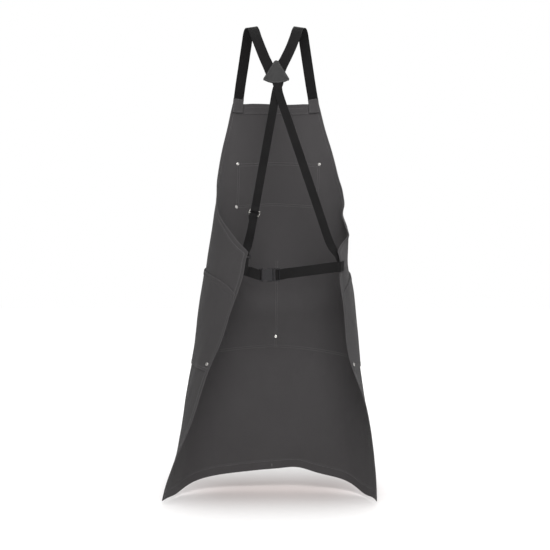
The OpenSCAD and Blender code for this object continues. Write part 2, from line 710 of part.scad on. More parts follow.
// Stands its children on the panel at s, v and height n, their Z axis along the outward normal
module at_panel(spot, n) {
    z = lean_normal(spot[0], spot[1]);
    y = square_to([0, 0, -1], z);
    in_frame(over_panel(spot[0], spot[1], n), cross(y, z), y, z) children();
}
module rivet() {
    cylinder(h = 0.8, d = rivet_d);
    translate([0, 0, 0.8]) cylinder(h = 1, d1 = rivet_d, d2 = rivet_d * 0.6);
    translate([0, 0, -pocket_face - 1.8]) cylinder(h = pocket_face + 1.9, d = 3);
}
module burr() {
    difference() {
        translate([0, 0, -1.6]) cylinder(h = 1, d = rivet_d);
        translate([0, 0, -2]) cylinder(h = 3, d = 3.1);
    }
}
module chest_rivets() {
    color(metal_colour)
        for (spot = chest_rivet_spots) at_panel(spot, pocket_face + 0.3) rivet();
}
module chest_rivet_burrs() {
    color(metal_colour) for (spot = chest_rivet_spots) at_panel(spot, 0) burr();
}
module hip_rivets() {
    color(metal_colour)
        for (spot = hip_rivet_spots) at_panel(spot, pocket_face + 0.3) rivet();
}
module hip_rivet_burrs() {
    color(metal_colour) for (spot = hip_rivet_spots) at_panel(spot, 0) burr();
}
// Short thread bars that lock the hem at its centre and corners
module hem_bartacks() {
    spots = [[-half_skirt + 8, body_length - 10], [0, body_length - 10],
        [half_skirt - 8, body_length - 10]];
    color(thread_colour)
        for (spot = spots) at_panel(spot, 0)
            translate([-1, -4, -1.5]) cube([2, 8, 0.8]);
}

apron_panel();
bib_facing();
chest_pocket();
hip_pocket();
strap_tab_left();
strap_tab_right();
shoulder_strap_left();
shoulder_strap_right();
back_patch_outer();
back_patch_inner();
lower_strap_left();
lower_strap_right();
adjuster_return();
strap_slider();
side_ring();
side_ring_tab();
belt_left();
belt_right();
belt_tail();
buckle_socket();
buckle_plug();
plug_prong_upper();
plug_prong_lower();
chest_rivets();
chest_rivet_burrs();
hip_rivets();
hip_rivet_burrs();
hem_bartacks();
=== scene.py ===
import math

import bmesh
import bpy
import numpy as np
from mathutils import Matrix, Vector


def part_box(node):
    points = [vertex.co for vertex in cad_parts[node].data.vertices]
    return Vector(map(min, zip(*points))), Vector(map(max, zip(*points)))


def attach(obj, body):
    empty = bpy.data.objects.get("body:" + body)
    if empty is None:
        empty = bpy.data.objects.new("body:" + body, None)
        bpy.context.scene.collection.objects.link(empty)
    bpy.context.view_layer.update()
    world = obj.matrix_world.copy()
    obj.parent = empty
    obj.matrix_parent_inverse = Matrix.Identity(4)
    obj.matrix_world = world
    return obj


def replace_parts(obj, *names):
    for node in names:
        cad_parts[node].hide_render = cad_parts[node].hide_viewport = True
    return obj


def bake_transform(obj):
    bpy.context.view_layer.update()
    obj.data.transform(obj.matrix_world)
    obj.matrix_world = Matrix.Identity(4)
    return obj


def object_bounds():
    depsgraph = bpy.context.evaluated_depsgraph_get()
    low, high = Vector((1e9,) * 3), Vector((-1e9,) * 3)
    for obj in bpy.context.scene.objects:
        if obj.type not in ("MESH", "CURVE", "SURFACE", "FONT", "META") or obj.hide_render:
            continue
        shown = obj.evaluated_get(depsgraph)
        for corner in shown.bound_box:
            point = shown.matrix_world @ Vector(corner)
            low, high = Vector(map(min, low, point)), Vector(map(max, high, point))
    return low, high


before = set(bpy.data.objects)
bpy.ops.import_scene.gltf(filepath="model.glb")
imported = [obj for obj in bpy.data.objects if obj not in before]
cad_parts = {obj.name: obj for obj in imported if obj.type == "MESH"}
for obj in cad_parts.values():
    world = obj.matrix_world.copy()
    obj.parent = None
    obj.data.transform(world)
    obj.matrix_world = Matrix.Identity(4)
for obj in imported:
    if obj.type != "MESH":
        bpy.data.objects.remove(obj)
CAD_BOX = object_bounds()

# Everything is worked out in millimetres, as the part is designed, and scaled once to metres.
# +X is the wearer's right, +Y the wearer's front, and a point of the flat canvas is given by
# s, its distance from the centre line (positive on the right), and v, its distance below the
# bib's top edge.
MM = 0.001

# Sizes of the part ----------------------------------------------------------------------------
BODY_LENGTH = 950
BIB_WIDTH = 224
HALF_SKIRT = 350
ARMHOLE_DROP = 346
ARMHOLE_SLANT = 100
ARMHOLE_SWEEP = HALF_SKIRT - BIB_WIDTH / 2 - ARMHOLE_SLANT
# Where the side edge leaves its plain line: how far, depth below the bib's top, and reach
ARMHOLE_HOLLOW, HOLLOW_AT = 2.2, (62, 42)
WING_FULLNESS, FULLNESS_AT = 8, (300, 32)
TIP_CUT, TIP_AT = 7, (352, 36)
CANVAS_T = 1.2
BIB_DROP = 172
BIB_FORWARD = 100
HEM_FORWARD = 24
CORNER_DROOP = 45
DROOP_POWER = 1.4
DROOP_ONSET = 5
TIP_SOFT = 3.0
# The turn of each half round the body in degrees, and the middle's sideways sway, down the body
TURN_LEFT = [120, 215, 176, 138, 112, 74]
TURN_RIGHT = [40, 146, 126, 108, 85, 80]
SWAY = [2, 2.5, -6.5, -9, -15, -8]
TURN_POWER = 1.5
ARC_STEPS = 24

CHEST_POCKET = dict(middle=6, width=218, height=118, drop=146, gape=14)
HIP_POCKET = dict(half=346, drop=404, bottom=632, fall=43, gape=18, divide=12)
POCKET_GAP = 0.9
PLY_GAP = 0.4
FACING_H = 26
WIDE_WEB, WIDE_T = 25, 1.6
NARROW_WEB, NARROW_T = 20, 1.4
STRAP_INSET, STRAP_OVERLAP = 98, 22

# Seams: a side hem's width, the bottom hem's, and where their stitches run
SIDE_HEM = 10
BOTTOM_HEM = 24
TOP_HEM = 12
STITCH_PITCH = 3.2
THREAD_R = 0.3
# Turned folds of the pockets: the chest pocket's mouth, the hip pocket's, and their seams
CHEST_FOLD, HIP_FOLD, SEAM_FOLD = 20, 11, 8
TAB_W, TAB_REACH, TAB_ROW = 27, 38, 10.5


# Smooth curves ----------------------------------------------------------------------------------
def level(values, u):
    """A smooth curve through equally spaced values, read at u from 0 to 1."""
    values = np.asarray(values, float)
    u = np.asarray(u, float)
    last = len(values) - 1
    x = np.clip(u, 0, 1) * last
    i = np.minimum(np.floor(x).astype(int), last - 1)
    f = (x - i).reshape(u.shape + (1,) * (values.ndim - 1))
    a, b = values[np.maximum(i - 1, 0)], values[i]
    c, d = values[i + 1], values[np.minimum(i + 2, last)]
    return (2 * b + (c - a) * f + (2 * a - 5 * b + 4 * c - d) * f**2
            + (3 * b - a - 3 * c + d) * f**3) / 2


def ramp(low, high, x):
    """0 below low, 1 above high and a smooth step between them."""
    t = np.clip((np.asarray(x, float) - low) / (high - low), 0, 1)
    return t * t * (3 - 2 * t)


def bump(x, middle, width):
    return np.exp(-(((np.asarray(x, float) - middle) / width) ** 2))


def unit(a):
    a = np.asarray(a, float)
    return a / np.maximum(np.linalg.norm(a, axis=-1, keepdims=True), 1e-9)


def run_of(points):
    """The distance run along a line of points, at each of them."""
    steps = np.linalg.norm(np.diff(points, axis=0), axis=1)
    return np.concatenate([[0], np.cumsum(steps)])


def read_off(at, run, values):
    """Each column of the values at these distances along a line."""
    values = np.asarray(values, float)
    return np.stack([np.interp(at, run, values[:, k]) for k in range(values.shape[1])], 1)


def along(points, values, step):
    """Points evenly spaced along a smooth curve through the given ones, with values in step."""
    p = np.asarray(points, float)
    t = np.concatenate([[0], np.cumsum(np.sqrt(np.linalg.norm(np.diff(p, axis=0), axis=1)))])
    slope = np.gradient(p, t, axis=0)

    def at(x):
        i = np.clip(np.searchsorted(t, x, side="right") - 1, 0, len(t) - 2)
        h = (t[i + 1] - t[i])[:, None]
        f = ((x - t[i]) / (t[i + 1] - t[i]))[:, None]
        return ((2 * f**3 - 3 * f**2 + 1) * p[i] + (f**3 - 2 * f**2 + f) * h * slope[i]
                + (3 * f**2 - 2 * f**3) * p[i + 1] + (f**3 - f**2) * h * slope[i + 1])

    dense = np.linspace(0, t[-1], 60 * len(p))
    length = run_of(at(dense))
    count = max(int(round(length[-1] / step)), 2)
    x = np.interp(np.linspace(0, length[-1], count + 1), length, dense)
    return at(x), read_off(x, t, values)


# The canvas body's surface ----------------------------------------------------------------------
def half_width(v):
    """The flat half width, continued past the wing's tip along the armhole's own slope."""
    u = np.clip(np.asarray(v, float) / ARMHOLE_DROP, 0, None)
    past = np.maximum(u - 1, 0)
    u = np.minimum(u, 1)
    return (BIB_WIDTH / 2 + ARMHOLE_SLANT * u + ARMHOLE_SWEEP * u**5
            + (ARMHOLE_SLANT + 5 * ARMHOLE_SWEEP) * past - ARMHOLE_HOLLOW * bump(v, *HOLLOW_AT)
            + WING_FULLNESS * bump(v, *FULLNESS_AT) - TIP_CUT * bump(v, *TIP_AT))


def edge_stretch(v):
    """How much longer a step along s is than the same step square to the slanting edge."""
    u = np.clip(np.asarray(v, float) / ARMHOLE_DROP, 0, 1)
    return np.sqrt(1 + ((ARMHOLE_SLANT + 5 * ARMHOLE_SWEEP * u**4) / ARMHOLE_DROP) ** 2)


def edge_line(v, inset=0.0):
    """s of the line that runs at this distance inside the side edge and round the wing's tip."""
    a = half_width(v) - inset * edge_stretch(v)
    b = HALF_SKIRT - inset - TIP_CUT * bump(v, *TIP_AT)
    return np.minimum(a, b) - TIP_SOFT * np.exp(-np.abs(a - b) / TIP_SOFT) * math.log(2)


def edge_depth(s, v):
    """The distance of a point inside the side edge."""
    side = HALF_SKIRT - TIP_CUT * bump(v, *TIP_AT)
    return np.minimum((half_width(v) - np.abs(s)) / edge_stretch(v), side - np.abs(s))


def gather(t):
    t = np.clip(t, 0, 1)
    return (t * t * (3 - 2 * t)) ** TURN_POWER


# Soft folds that stand out of the cloth: top and bottom (s, v), width and height
FOLDS = [
    ((-318, 290), (-305, 470), 9, 2.2),
    ((-286, 300), (-268, 520), 14, 2.0),
    ((-322, 500), (-286, 760), 12, 2.4),
    ((-262, 560), (-232, 900), 18, 3.2),
    ((-150, 620), (-138, 930), 22, 2.6),
    ((-40, 640), (-30, 935), 26, 2.0),
    ((70, 620), (84, 935), 24, 2.6),
    ((190, 600), (206, 930), 22, 3.0),
    ((292, 560), (300, 880), 15, 2.6),
    ((322, 380), (306, 560), 11, 1.8),
    ((150, 120), (262, 300), 12, 2.6),
    ((206, 190), (300, 330), 9, 2.2),
    ((-176, 150), (-262, 290), 12, 2.2),
    ((-96, 60), (-150, 210), 16, 1.6),
    ((90, 60), (120, 200), 16, 1.4),
]


# Broad swells and hollows: middle (s, v), spread in s and v, height
SWELLS = [
    ((-270, 735), 90, 135, 7.5),
    ((-215, 330), 80, 110, -3),
    ((-350, 556), 42, 52, -9),
    ((262, 600), 90, 150, 4.5),
    ((250, 268), 46, 20, -14),
    ((215, 204), 40, 18, 4.5),
    ((250, 388), 60, 45, -8),
    ((302, 313), 34, 16, 16),
    ((350, 590), 45, 90, -16),
    ((350, 356), 44, 42, 9),
    ((-205, 228), 50, 30, -3.5),
    ((-250, 505), 70, 60, 3),
]

# Where the hem sags or rides up: s, spread and drop
HEM_SAGS = [(262, 48, 15), (66, 46, -10), (-275, 52, 13)]


def drape(s, v):
    """How far the cloth stands out of its plain shape."""
    s, v = np.broadcast_arrays(np.asarray(s, float), np.asarray(v, float))
    out = np.zeros(s.shape)
    for middle, wide, tall, height in SWELLS:
        out += height * bump(s, middle[0], wide) * bump(v, middle[1], tall)
    for top, bottom, width, height in FOLDS:
        f = (v - top[1]) / (bottom[1] - top[1])
        middle = top[0] + (bottom[0] - top[0]) * f
        fade = ramp(-0.1, 0.35, f) * (1 - ramp(0.7, 1.15, f))
        out += height * fade * (bump(s, middle, width) - 0.5 * bump(s, middle, 2.2 * width))
    rng = np.random.RandomState(11)
    for _ in range(26):
        length = 46 + 150 * rng.rand()
        angle = rng.normal(0, 0.6)
        phase = 6.28 * rng.rand()
        wave = np.sin(2 * np.pi * (s * math.cos(angle) + v * math.sin(angle)) / length + phase)
        out += 0.0016 * length * wave * (0.35 + 0.65 * ramp(120, 900, v))
    # The bottom hem waves a little more than the skirt above it
    out += 1.6 * ramp(700, 940, v) * np.sin(s / 37 + 0.8) * (1 - bump(s, 0, 40) * 0.5)
    # Flat again at the bib's top, where the straps pull
    return out * ramp(-20, 90, v)


def top_wave(s, v):
    """The bib's top edge isn't quite straight between the straps."""
    return 1.3 * np.sin((s + 95) / 26) * (1 - ramp(6, 70, v)) * (1 - ramp(60, 84, np.abs(s)))


def on_panel(s, v, n=0.0):
    """The canvas body's inner face, or a point at height n out from it, in millimetres."""
    s, v, n = np.broadcast_arrays(*(np.asarray(a, float) for a in (s, v, n)))
    u = v / BODY_LENGTH
    whole = np.radians(np.where(s < 0, level(TURN_LEFT, u), level(TURN_RIGHT, u)))
    hand = np.where(s < 0, -1.0, 1.0)
    ds = np.abs(s) / ARC_STEPS
    x = np.zeros(s.shape)
    y = np.zeros(s.shape)
    for i in range(ARC_STEPS):
        a = whole * gather((i + 0.5) * ds / HALF_SKIRT)
        x += ds * np.cos(a)
        y -= ds * np.sin(a)
    a = whole * gather(np.abs(s) / HALF_SKIRT)
    rise = n + drape(s, v)
    droop = CORNER_DROOP * (1 - (1 - np.maximum(u, 0)) ** DROOP_ONSET)
    sag = sum(drop * bump(s, middle, spread) for middle, spread, drop in HEM_SAGS) * u**6
    return np.stack([
        hand * x + level(SWAY, u) + rise * hand * np.sin(a),
        y + BIB_FORWARD + HEM_FORWARD * (1 - (1 - u) ** 2) + rise * np.cos(a),
        -BIB_DROP - v - sag - droop * np.abs(s / HALF_SKIRT) ** DROOP_POWER + top_wave(s, v)],
        -1)


def panel_normal(s, v):
    """The cloth's outward normal with its lean and folds."""
    d = 1.5
    across = on_panel(np.asarray(s) + d, v) - on_panel(np.asarray(s) - d, v)
    down = on_panel(s, np.asarray(v) + d) - on_panel(s, np.asarray(v) - d)
    return unit(np.cross(across, down))


# Mesh making ------------------------------------------------------------------------------------
def add_mesh(name, verts, faces, material, body="apron", uv=None, wear=None):
    """A mesh from points in millimetres; uv in metres and wear from 0 to 1 at each point."""
    mesh = bpy.data.meshes.new(name)
    mesh.from_pydata((np.asarray(verts, float) * MM).tolist(), [], [list(f) for f in faces])
    if uv is not None:
        layer = mesh.uv_layers.new(name="flat")
        corners = np.zeros(len(mesh.loops), int)
        mesh.loops.foreach_get("vertex_index", corners)
        layer.data.foreach_set("uv", np.asarray(uv, float)[corners].ravel())
    if wear is not None:
        layer = mesh.attributes.new("wear", "FLOAT", "POINT")
        layer.data.foreach_set("value", np.asarray(wear, np.float32))
    mesh.polygons.foreach_set("use_smooth", [True] * len(mesh.polygons))
    mesh.materials.append(material[0])
    mesh.update()
    obj = add_object(name, mesh)
    if body:
        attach(obj, body)
    return obj


def add_object(name, data):
    obj = bpy.data.objects.new(name, data)
    bpy.context.scene.collection.objects.link(obj)
    return obj


def grid_faces(rows, cols, first=0, flip=False):
    r, c = np.meshgrid(np.arange(rows - 1), np.arange(cols - 1), indexing="ij")
    k = first + (r * cols + c).ravel()
    quads = np.stack([k, k + cols, k + cols + 1, k + 1], 1)
    return quads[:, ::-1] if flip else quads


def rim_faces(rows, cols):
    """The quads that join the outer and inner grids round their edge."""
    top = np.arange(cols)
    right = np.arange(rows) * cols + cols - 1
    bottom = (rows - 1) * cols + np.arange(cols)[::-1]
    left = (np.arange(rows) * cols)[::-1]
    ring = np.concatenate([top, right[1:], bottom[1:], left[1:]])
    a, b = ring[:-1], ring[1:]
    back = rows * cols
    return np.stack([a, b, back + b, back + a], 1)


def cloth(name, s, v, outer, inner, wear):
    """A closed piece of canvas between heights inner and outer over a grid of the flat body."""
    rows, cols = s.shape
    verts = np.concatenate([on_panel(s, v, outer).reshape(-1, 3),
                            on_panel(s, v, inner).reshape(-1, 3)])
    faces = np.concatenate([
        grid_faces(rows, cols), grid_faces(rows, cols, rows * cols, True),
        rim_faces(rows, cols)])
    flat = np.stack([s.ravel(), v.ravel()], 1) * MM
    piece = add_mesh(name, verts, faces, CANVAS, uv=np.concatenate([flat, flat]),
                     wear=np.concatenate([wear.ravel(), wear.ravel()]))
    # Marks the outer face, which the canvas material darkens as painted shade.
    face = piece.data.attributes.new("outside", "FLOAT", "POINT")
    face.data.foreach_set("value", np.repeat([1.0, 0.0], s.size).astype(np.float32))
    return piece


def loft_faces(rows, sides, flip=False, closed=False):
    """The faces between rings of points, with a cap at each end unless the last meets the first."""
    faces = []
    for j in range(rows if closed else rows - 1):
        k = (j + 1) % rows
        for i in range(sides):
            m = (i + 1) % sides
            faces.append([j * sides + i, j * sides + m, k * sides + m, k * sides + i])
    if not closed:
        faces += [list(range(sides))[::-1], [(rows - 1) * sides + i for i in range(sides)]]
    return [f[::-1] for f in faces] if flip else faces


def rounded(depth, half, radius):
    """A face's height above the cloth's middle, falling off round its edge."""
    f = np.clip(depth / radius, 0, 1)
    return half * np.sqrt(np.clip(1 - (1 - f) ** 2, 0.02, 1))


def ribbon(name, path, normals, width, thickness, material, body="apron", step=2.5, slant=0):
    """Webbing with rounded selvedges along a smooth path, faced by the given normals.

    slant is how much further one edge runs than the middle at the far end.
    """
    p, n = along(path, normals, step)
    t = unit(np.gradient(p, axis=0))
    n = unit(n - (n * t).sum(1, keepdims=True) * t)
    c = np.cross(t, n)
    half = np.array([0, 0.006, 0.02, 0.045, 0.08, 0.16, 0.28, 0.4, 0.5])
    across = np.concatenate([half - 0.5, (0.5 - half)[::-1][1:]])
    depth = 0.5 - np.abs(across)
    high = rounded(depth * width, 1.0, thickness * 0.5) * (1 + 0.1 * bump(depth, 0.07, 0.04))
    around = np.concatenate([across, across[::-1][1:-1]])
    up = np.concatenate([high, -high[::-1][1:-1]])
    k = len(around)
    verts = (p[:, None] + c[:, None] * (around * width)[None, :, None]
             + n[:, None] * (up * thickness / 2)[None, :, None])
    rows = len(p)
    run = run_of(p)
    lean = 2 * slant * ramp(-30, 0, run - run[-1])
    verts = verts + t[:, None] * (lean[:, None] * around[None])[:, :, None]
    uv = np.stack([np.tile(around * width, rows), np.repeat(run, k)], 1) * MM
    wear = np.tile(np.concatenate([1 - ramp(0, 0.04, depth),
                                   (1 - ramp(0, 0.04, depth))[::-1][1:-1]]), rows)
    return add_mesh(name, verts.reshape(-1, 3), loft_faces(rows, k), material, body, uv, wear)


def stitch_line(points, normals, pitch=STITCH_PITCH, radius=THREAD_R, fill=0.72):
    """Beads of thread laid end to end along a line, as (verts, faces)."""
    p = np.asarray(points, float)
    run = run_of(p)
    count = max(int(run[-1] / pitch), 1)
    at = (np.arange(count) + 0.5) * run[-1] / count
    middle = read_off(at, run, p)
    n = read_off(at, run, normals)
    t = unit(read_off(at + 0.4, run, p) - read_off(at - 0.4, run, p))
    n = unit(n - (n * t).sum(1, keepdims=True) * t)
    b = np.cross(t, n)
    place = np.array([-0.5, -0.42, -0.2, 0.2, 0.42, 0.5]) * pitch * fill
    size = np.array([0.25, 0.8, 1.0, 1.0, 0.8, 0.25]) * radius
    lift = np.array([-0.8, 0.1, 0.5, 0.5, 0.1, -0.8]) * radius
    sides = 6
    angle = np.arange(sides) * 2 * np.pi / sides
    verts = (middle[:, None, None, :]
             + place[None, :, None, None] * t[:, None, None, :]
             + (size[:, None] * np.cos(angle))[None, :, :, None] * b[:, None, None, :]
             + (lift[:, None] + size[:, None] * np.sin(angle))[None, :, :, None]
             * n[:, None, None, :])
    block = len(place) * sides
    bead = loft_faces(len(place), sides)
    return verts.reshape(-1, 3), [[k * block + i for i in face]
                                  for k in range(count) for face in bead]


class Stitching:
    """Collects lines of stitches and makes one mesh of them."""

    def __init__(self, name):
        self.name = name
        self.verts, self.faces, self.count = [], [], 0

    def line(self, points, normals, **look):
        verts, faces = stitch_line(points, normals, **look)
        self.verts.append(verts)
        self.faces += [[i + self.count for i in f] for f in faces]
        self.count += len(verts)

    def on_cloth(self, s, v, outer=None, inner=None):
        """Stitches along a line of the flat canvas, at the given heights of its two faces."""
        normal = panel_normal(s, v)
        if outer is not None:
            self.line(on_panel(s, v, outer), normal)
        if inner is not None:
            self.line(on_panel(s, v, inner), -normal)

    def build(self):
        return add_mesh(self.name, np.concatenate(self.verts), self.faces, THREAD)


# Materials --------------------------------------------------------------------------------------
class Nodes:
    """A small helper for building a node tree."""

    def __init__(self, tree):
        self.tree = tree

    def add(self, kind, **settings):
        node = self.tree.nodes.new(kind)
        for key, value in settings.items():
            setattr(node, key, value)
        return node

    def link(self, a, b):
        self.tree.links.new(a, b)

    def put(self, target, value):
        if isinstance(value, (int, float, tuple, list)):
            target.default_value = value
        else:
            self.link(value, target)

    def fix(self, node, **inputs):
        for key, value in inputs.items():
            node.inputs[key].default_value = value

    def math(self, operation, a, b=0.0):
        node = self.add("ShaderNodeMath", operation=operation)
        self.put(node.inputs[0], a)
        self.put(node.inputs[1], b)
        return node.outputs[0]

    def times(self, a, b):
        return self.math("MULTIPLY", a, b)

    def plus(self, a, b):
        return self.math("ADD", a, b)

    def vector(self, source, scale):
        node = self.add("ShaderNodeMapping")
        self.link(source, node.inputs["Vector"])
        node.inputs["Scale"].default_value = scale
        return node.outputs[0]

    def noise(self, source, scale, detail=3.0, roughness=0.55):
        node = self.add("ShaderNodeTexNoise")
        self.link(source, node.inputs["Vector"])
        self.fix(node, Scale=scale, Detail=detail, Roughness=roughness)
        return node.outputs["Fac"]

    def mix(self, factor, a, b):
        node = self.add("ShaderNodeMix", data_type="RGBA")
        self.put(node.inputs["Factor"], factor)
        self.put(node.inputs[6], a)
        self.put(node.inputs[7], b)
        return node.outputs[2]

    def tones(self, noise, dark, light, low=0.3, high=0.7):
        """A colour between two, as the noise says."""
        return self.mix(self.spread(noise, low, high, 0.0, 1.0), (*dark, 1), (*light, 1))

    def spread(self, value, low, high, to_low, to_high, kind="LINEAR"):
        node = self.add("ShaderNodeMapRange", interpolation_type=kind)
        self.link(value, node.inputs["Value"])
        self.fix(node, **{"From Min": low, "From Max": high, "To Min": to_low,
                          "To Max": to_high})
        return node.outputs["Result"]

    def bump(self, height, distance, strength=1.0, under=None):
        node = self.add("ShaderNodeBump")
        self.fix(node, Strength=strength, Distance=distance)
        self.link(height, node.inputs["Height"])
        if under is not None:
            self.link(under, node.inputs["Normal"])
        return node.outputs["Normal"]

    def flat(self):
        node = self.add("ShaderNodeUVMap", uv_map="flat")
        return node.outputs["UV"]

    def place(self):
        return self.add("ShaderNodeTexCoord").outputs["Object"]

    def attribute(self, name):
        return self.add("ShaderNodeAttribute", attribute_name=name).outputs["Fac"]

    def weave(self, source, across, down):
        """Height of a plain weave: threads of the two directions pass over each other in turn."""
        split = self.add("ShaderNodeSeparateXYZ")
        self.link(source, split.inputs[0])
        u = self.times(split.outputs["X"], math.pi / across)
        v = self.times(split.outputs["Y"], math.pi / down)
        over = self.times(self.math("SINE", u), self.math("SINE", v))
        warp = self.math("ABSOLUTE", self.math("SINE", u))
        weft = self.math("ABSOLUTE", self.math("SINE", v))
        side = self.spread(over, -0.35, 0.35, 0.0, 1.0)
        high = self.times(warp, side)
        low = self.times(weft, self.math("SUBTRACT", 1.0, side))
        return self.plus(high, low)


class Surface(Nodes):
    """The node tree of one material, with its shader."""

    def __init__(self, name):
        self.material = bpy.data.materials.new(name)
        self.material.use_nodes = True
        super().__init__(self.material.node_tree)
        self.tree.nodes.clear()
        self.shader = self.add("ShaderNodeBsdfPrincipled")
        out = self.add("ShaderNodeOutputMaterial")
        self.link(self.shader.outputs["BSDF"], out.inputs["Surface"])

    def finish(self, colour, roughness, normal=None, **fixed):
        self.put(self.shader.inputs["Base Color"], colour)
        self.put(self.shader.inputs["Roughness"], roughness)
        if normal is not None:
            self.link(normal, self.shader.inputs["Normal"])
        self.fix(self.shader, **fixed)
        return self.material


def canvas_material():
    """Charcoal cotton canvas: a plain weave with slubs, uneven dye and rubbed hems, with painted
    shade in the weave's hollows and painted shade over the whole outer face.
    """
    m = Surface("canvas")
    flat, place = m.flat(), m.place()
    weave = m.weave(flat, 0.00052, 0.00060)
    slub_down = m.noise(m.vector(flat, (1900, 38, 1)), 1.0, 2.0)
    slub_across = m.noise(m.vector(flat, (34, 1700, 1)), 1.0, 2.0)
    slub = m.times(m.plus(slub_down, slub_across), 0.5)
    cloud = m.noise(place, 9.0, 4.0, 0.6)
    lint = m.noise(place, 900.0, 2.0, 0.6)
    tone = m.plus(m.times(slub, 0.6), m.times(cloud, 0.4))
    base = m.tones(tone, (0.0318, 0.0300, 0.0309), (0.0400, 0.0379, 0.0388), 0.35, 0.65)
    # Painted shade: the weave's hollows are darker and its raised threads lighter.
    thread = m.mix(m.spread(weave, 0.2, 1.0, 0.0, 0.5), base, (0.050, 0.0475, 0.0485, 1))
    # Painted shade: the outer face is darkened by a quarter, to even it with the inner face, which
    # gets less light.
    outer_face_painted_shade = m.mix(m.times(m.attribute("outside"), 0.24), thread, (0, 0, 0, 1))
    rubbed = m.mix(m.times(m.attribute("wear"), 0.3), outer_face_painted_shade,
                   (0.080, 0.077, 0.079, 1))
    colour = m.mix(m.spread(lint, 0.68, 0.78, 0.0, 0.3), rubbed, (0.11, 0.107, 0.108, 1))
    rough = m.spread(slub, 0.3, 0.7, 0.86, 0.96)
    soft = m.bump(m.noise(place, 55.0, 3.0), 0.0009, 0.35)
    normal = m.bump(m.plus(weave, m.times(slub, 0.6)), 0.00022, 0.8, soft)
    return m.finish(colour, rough, normal, **{
        "Sheen Weight": 0.07, "Sheen Roughness": 0.5, "Specular IOR Level": 0.08})


def webbing_material():
    """Black webbing: ribs across the width, a ladder of picks along it, worn selvedges, and painted
    shade in the weave's hollows.
    """
    m = Surface("webbing")
    flat, place = m.flat(), m.place()
    weave = m.weave(flat, 0.00125, 0.00085)
    yarn = m.noise(m.vector(flat, (900, 2600, 1)), 1.0, 3.0)
    cloud = m.noise(place, 22.0, 3.0)
    base = m.tones(cloud, (0.0044, 0.0042, 0.0043), (0.0066, 0.0064, 0.0065))
    # Painted shade: the weave's hollows are darker and its raised threads lighter.
    top = m.mix(m.spread(weave, 0.3, 1.0, 0.0, 0.6), base, (0.0115, 0.0110, 0.0112, 1))
    colour = m.mix(m.times(m.attribute("wear"), 0.5), top,
                   (0.018, 0.0175, 0.0178, 1))
    rough = m.spread(yarn, 0.3, 0.7, 0.5, 0.72)
    normal = m.bump(m.plus(weave, m.times(yarn, 0.25)), 0.00032, 0.9)
    return m.finish(colour, rough, normal, **{
        "Sheen Weight": 0.01, "Sheen Roughness": 0.4, "Specular IOR Level": 0.05})


def patch_material():
    """A smooth coated grey patch with a fine pebble and slightly polished high spots."""
    m = Surface("patch")
    place = m.place()
    grain = m.add("ShaderNodeTexVoronoi")
    m.link(place, grain.inputs["Vector"])
    grain.inputs["Scale"].default_value = 1100.0
    cloud = m.noise(place, 60.0, 4.0)
    colour = m.tones(cloud, (0.0215, 0.0215, 0.0215), (0.0265, 0.0265, 0.0265))
    worn = m.mix(m.times(m.attribute("wear"), 0.45), colour,
                 (0.046, 0.046, 0.046, 1))
    rough = m.spread(m.noise(place, 300.0, 2.0), 0.3, 0.7, 0.48, 0.62)
    normal = m.bump(grain.outputs["Distance"], 0.00012, 0.5)
    return m.finish(worn, rough, normal, **{"Specular IOR Level": 0.06})


def plastic_material():
    """Satin moulded black plastic with a fine spark-eroded grain."""
    m = Surface("plastic")
    place = m.place()
    fine = m.noise(place, 2600.0, 2.0, 0.7)
    cloud = m.noise(place, 120.0, 3.0)
    colour = m.tones(cloud, (0.0065, 0.0061, 0.0070), (0.0095, 0.0090, 0.0101))
    rough = m.spread(cloud, 0.3, 0.7, 0.33, 0.46)
    normal = m.bump(fine, 0.00008, 0.5)
    return m.finish(colour, rough, normal, **{"Specular IOR Level": 0.12})


def metal_material(name, dark, light):
    """Nickel plate with hairline scratches, tarnished as the two colours say."""
    m = Surface(name)
    place = m.place()
    scratch = m.noise(m.vector(place, (2600, 240, 240)), 1.0, 3.0)
    cloud = m.noise(place, 140.0, 3.0)
    colour = m.tones(cloud, dark, light)
    rough = m.spread(scratch, 0.3, 0.7, 0.2, 0.38)
    normal = m.bump(scratch, 0.00005, 0.5)
    return m.finish(colour, rough, normal, Metallic=1.0)


def thread_material():
    """Twisted polyester thread."""
    m = Surface("thread")
    place = m.place()
    twist = m.noise(m.vector(place, (3200, 3200, 3200)), 1.0, 2.0)
    colour = m.tones(twist, (0.044, 0.042, 0.043), (0.070, 0.067, 0.068))
    normal = m.bump(twist, 0.0001, 0.6)
    return m.finish(colour, 0.62, normal, **{"Sheen Weight": 0.2})


CANVAS = (canvas_material(), "canvas")
WEBBING = (webbing_material(), "webbing")
PATCH = (patch_material(), "patch")
PLASTIC = (plastic_material(), "plastic")
METAL = (metal_material("metal", (0.30, 0.29, 0.27), (0.42, 0.41, 0.38)), "metal")
RIVET = (metal_material("rivet_metal", (0.36, 0.35, 0.34), (0.50, 0.49, 0.47)), "metal")
THREAD = (thread_material(), "thread")


# Canvas body ------------------------------------------------------------------------------------
HEM_STEPS = np.array([0, 0.25, 0.7, 1.5, 3, 5, 7, 9, 9.8, 10.6, 12])


def hemmed(low, high, between):
    """Lines of a grid that close up at both ends, so that the hems have real steps."""
    return np.concatenate([low + HEM_STEPS, between, high - HEM_STEPS[::-1]])


def hem_height(depth, width):
    """The share of a turned hem's extra height: 1 within its width and 0 inside it."""
    return 1 - ramp(width - 0.7, width + 0.7, depth)


def panel_grid():
    """The body's rows and columns, closer together at every edge."""
    across = np.linspace(-1, 1, 133)
    fold = BODY_LENGTH - BOTTOM_HEM
    rows = hemmed(0, BODY_LENGTH, np.concatenate([
        np.linspace(15, fold - 3, 182), fold + np.array([-1, 0, 1, 4])]))
    rows = np.unique(np.round(rows, 3))
    v = rows[:, None]
    depth = HEM_STEPS[None, :]
    edge = edge_line(v, depth)
    inner = edge_line(v, 16.0)
    s = np.concatenate([-edge, across[None, :] * inner, edge[:, ::-1]], 1)
    return s, np.broadcast_to(v, s.shape)


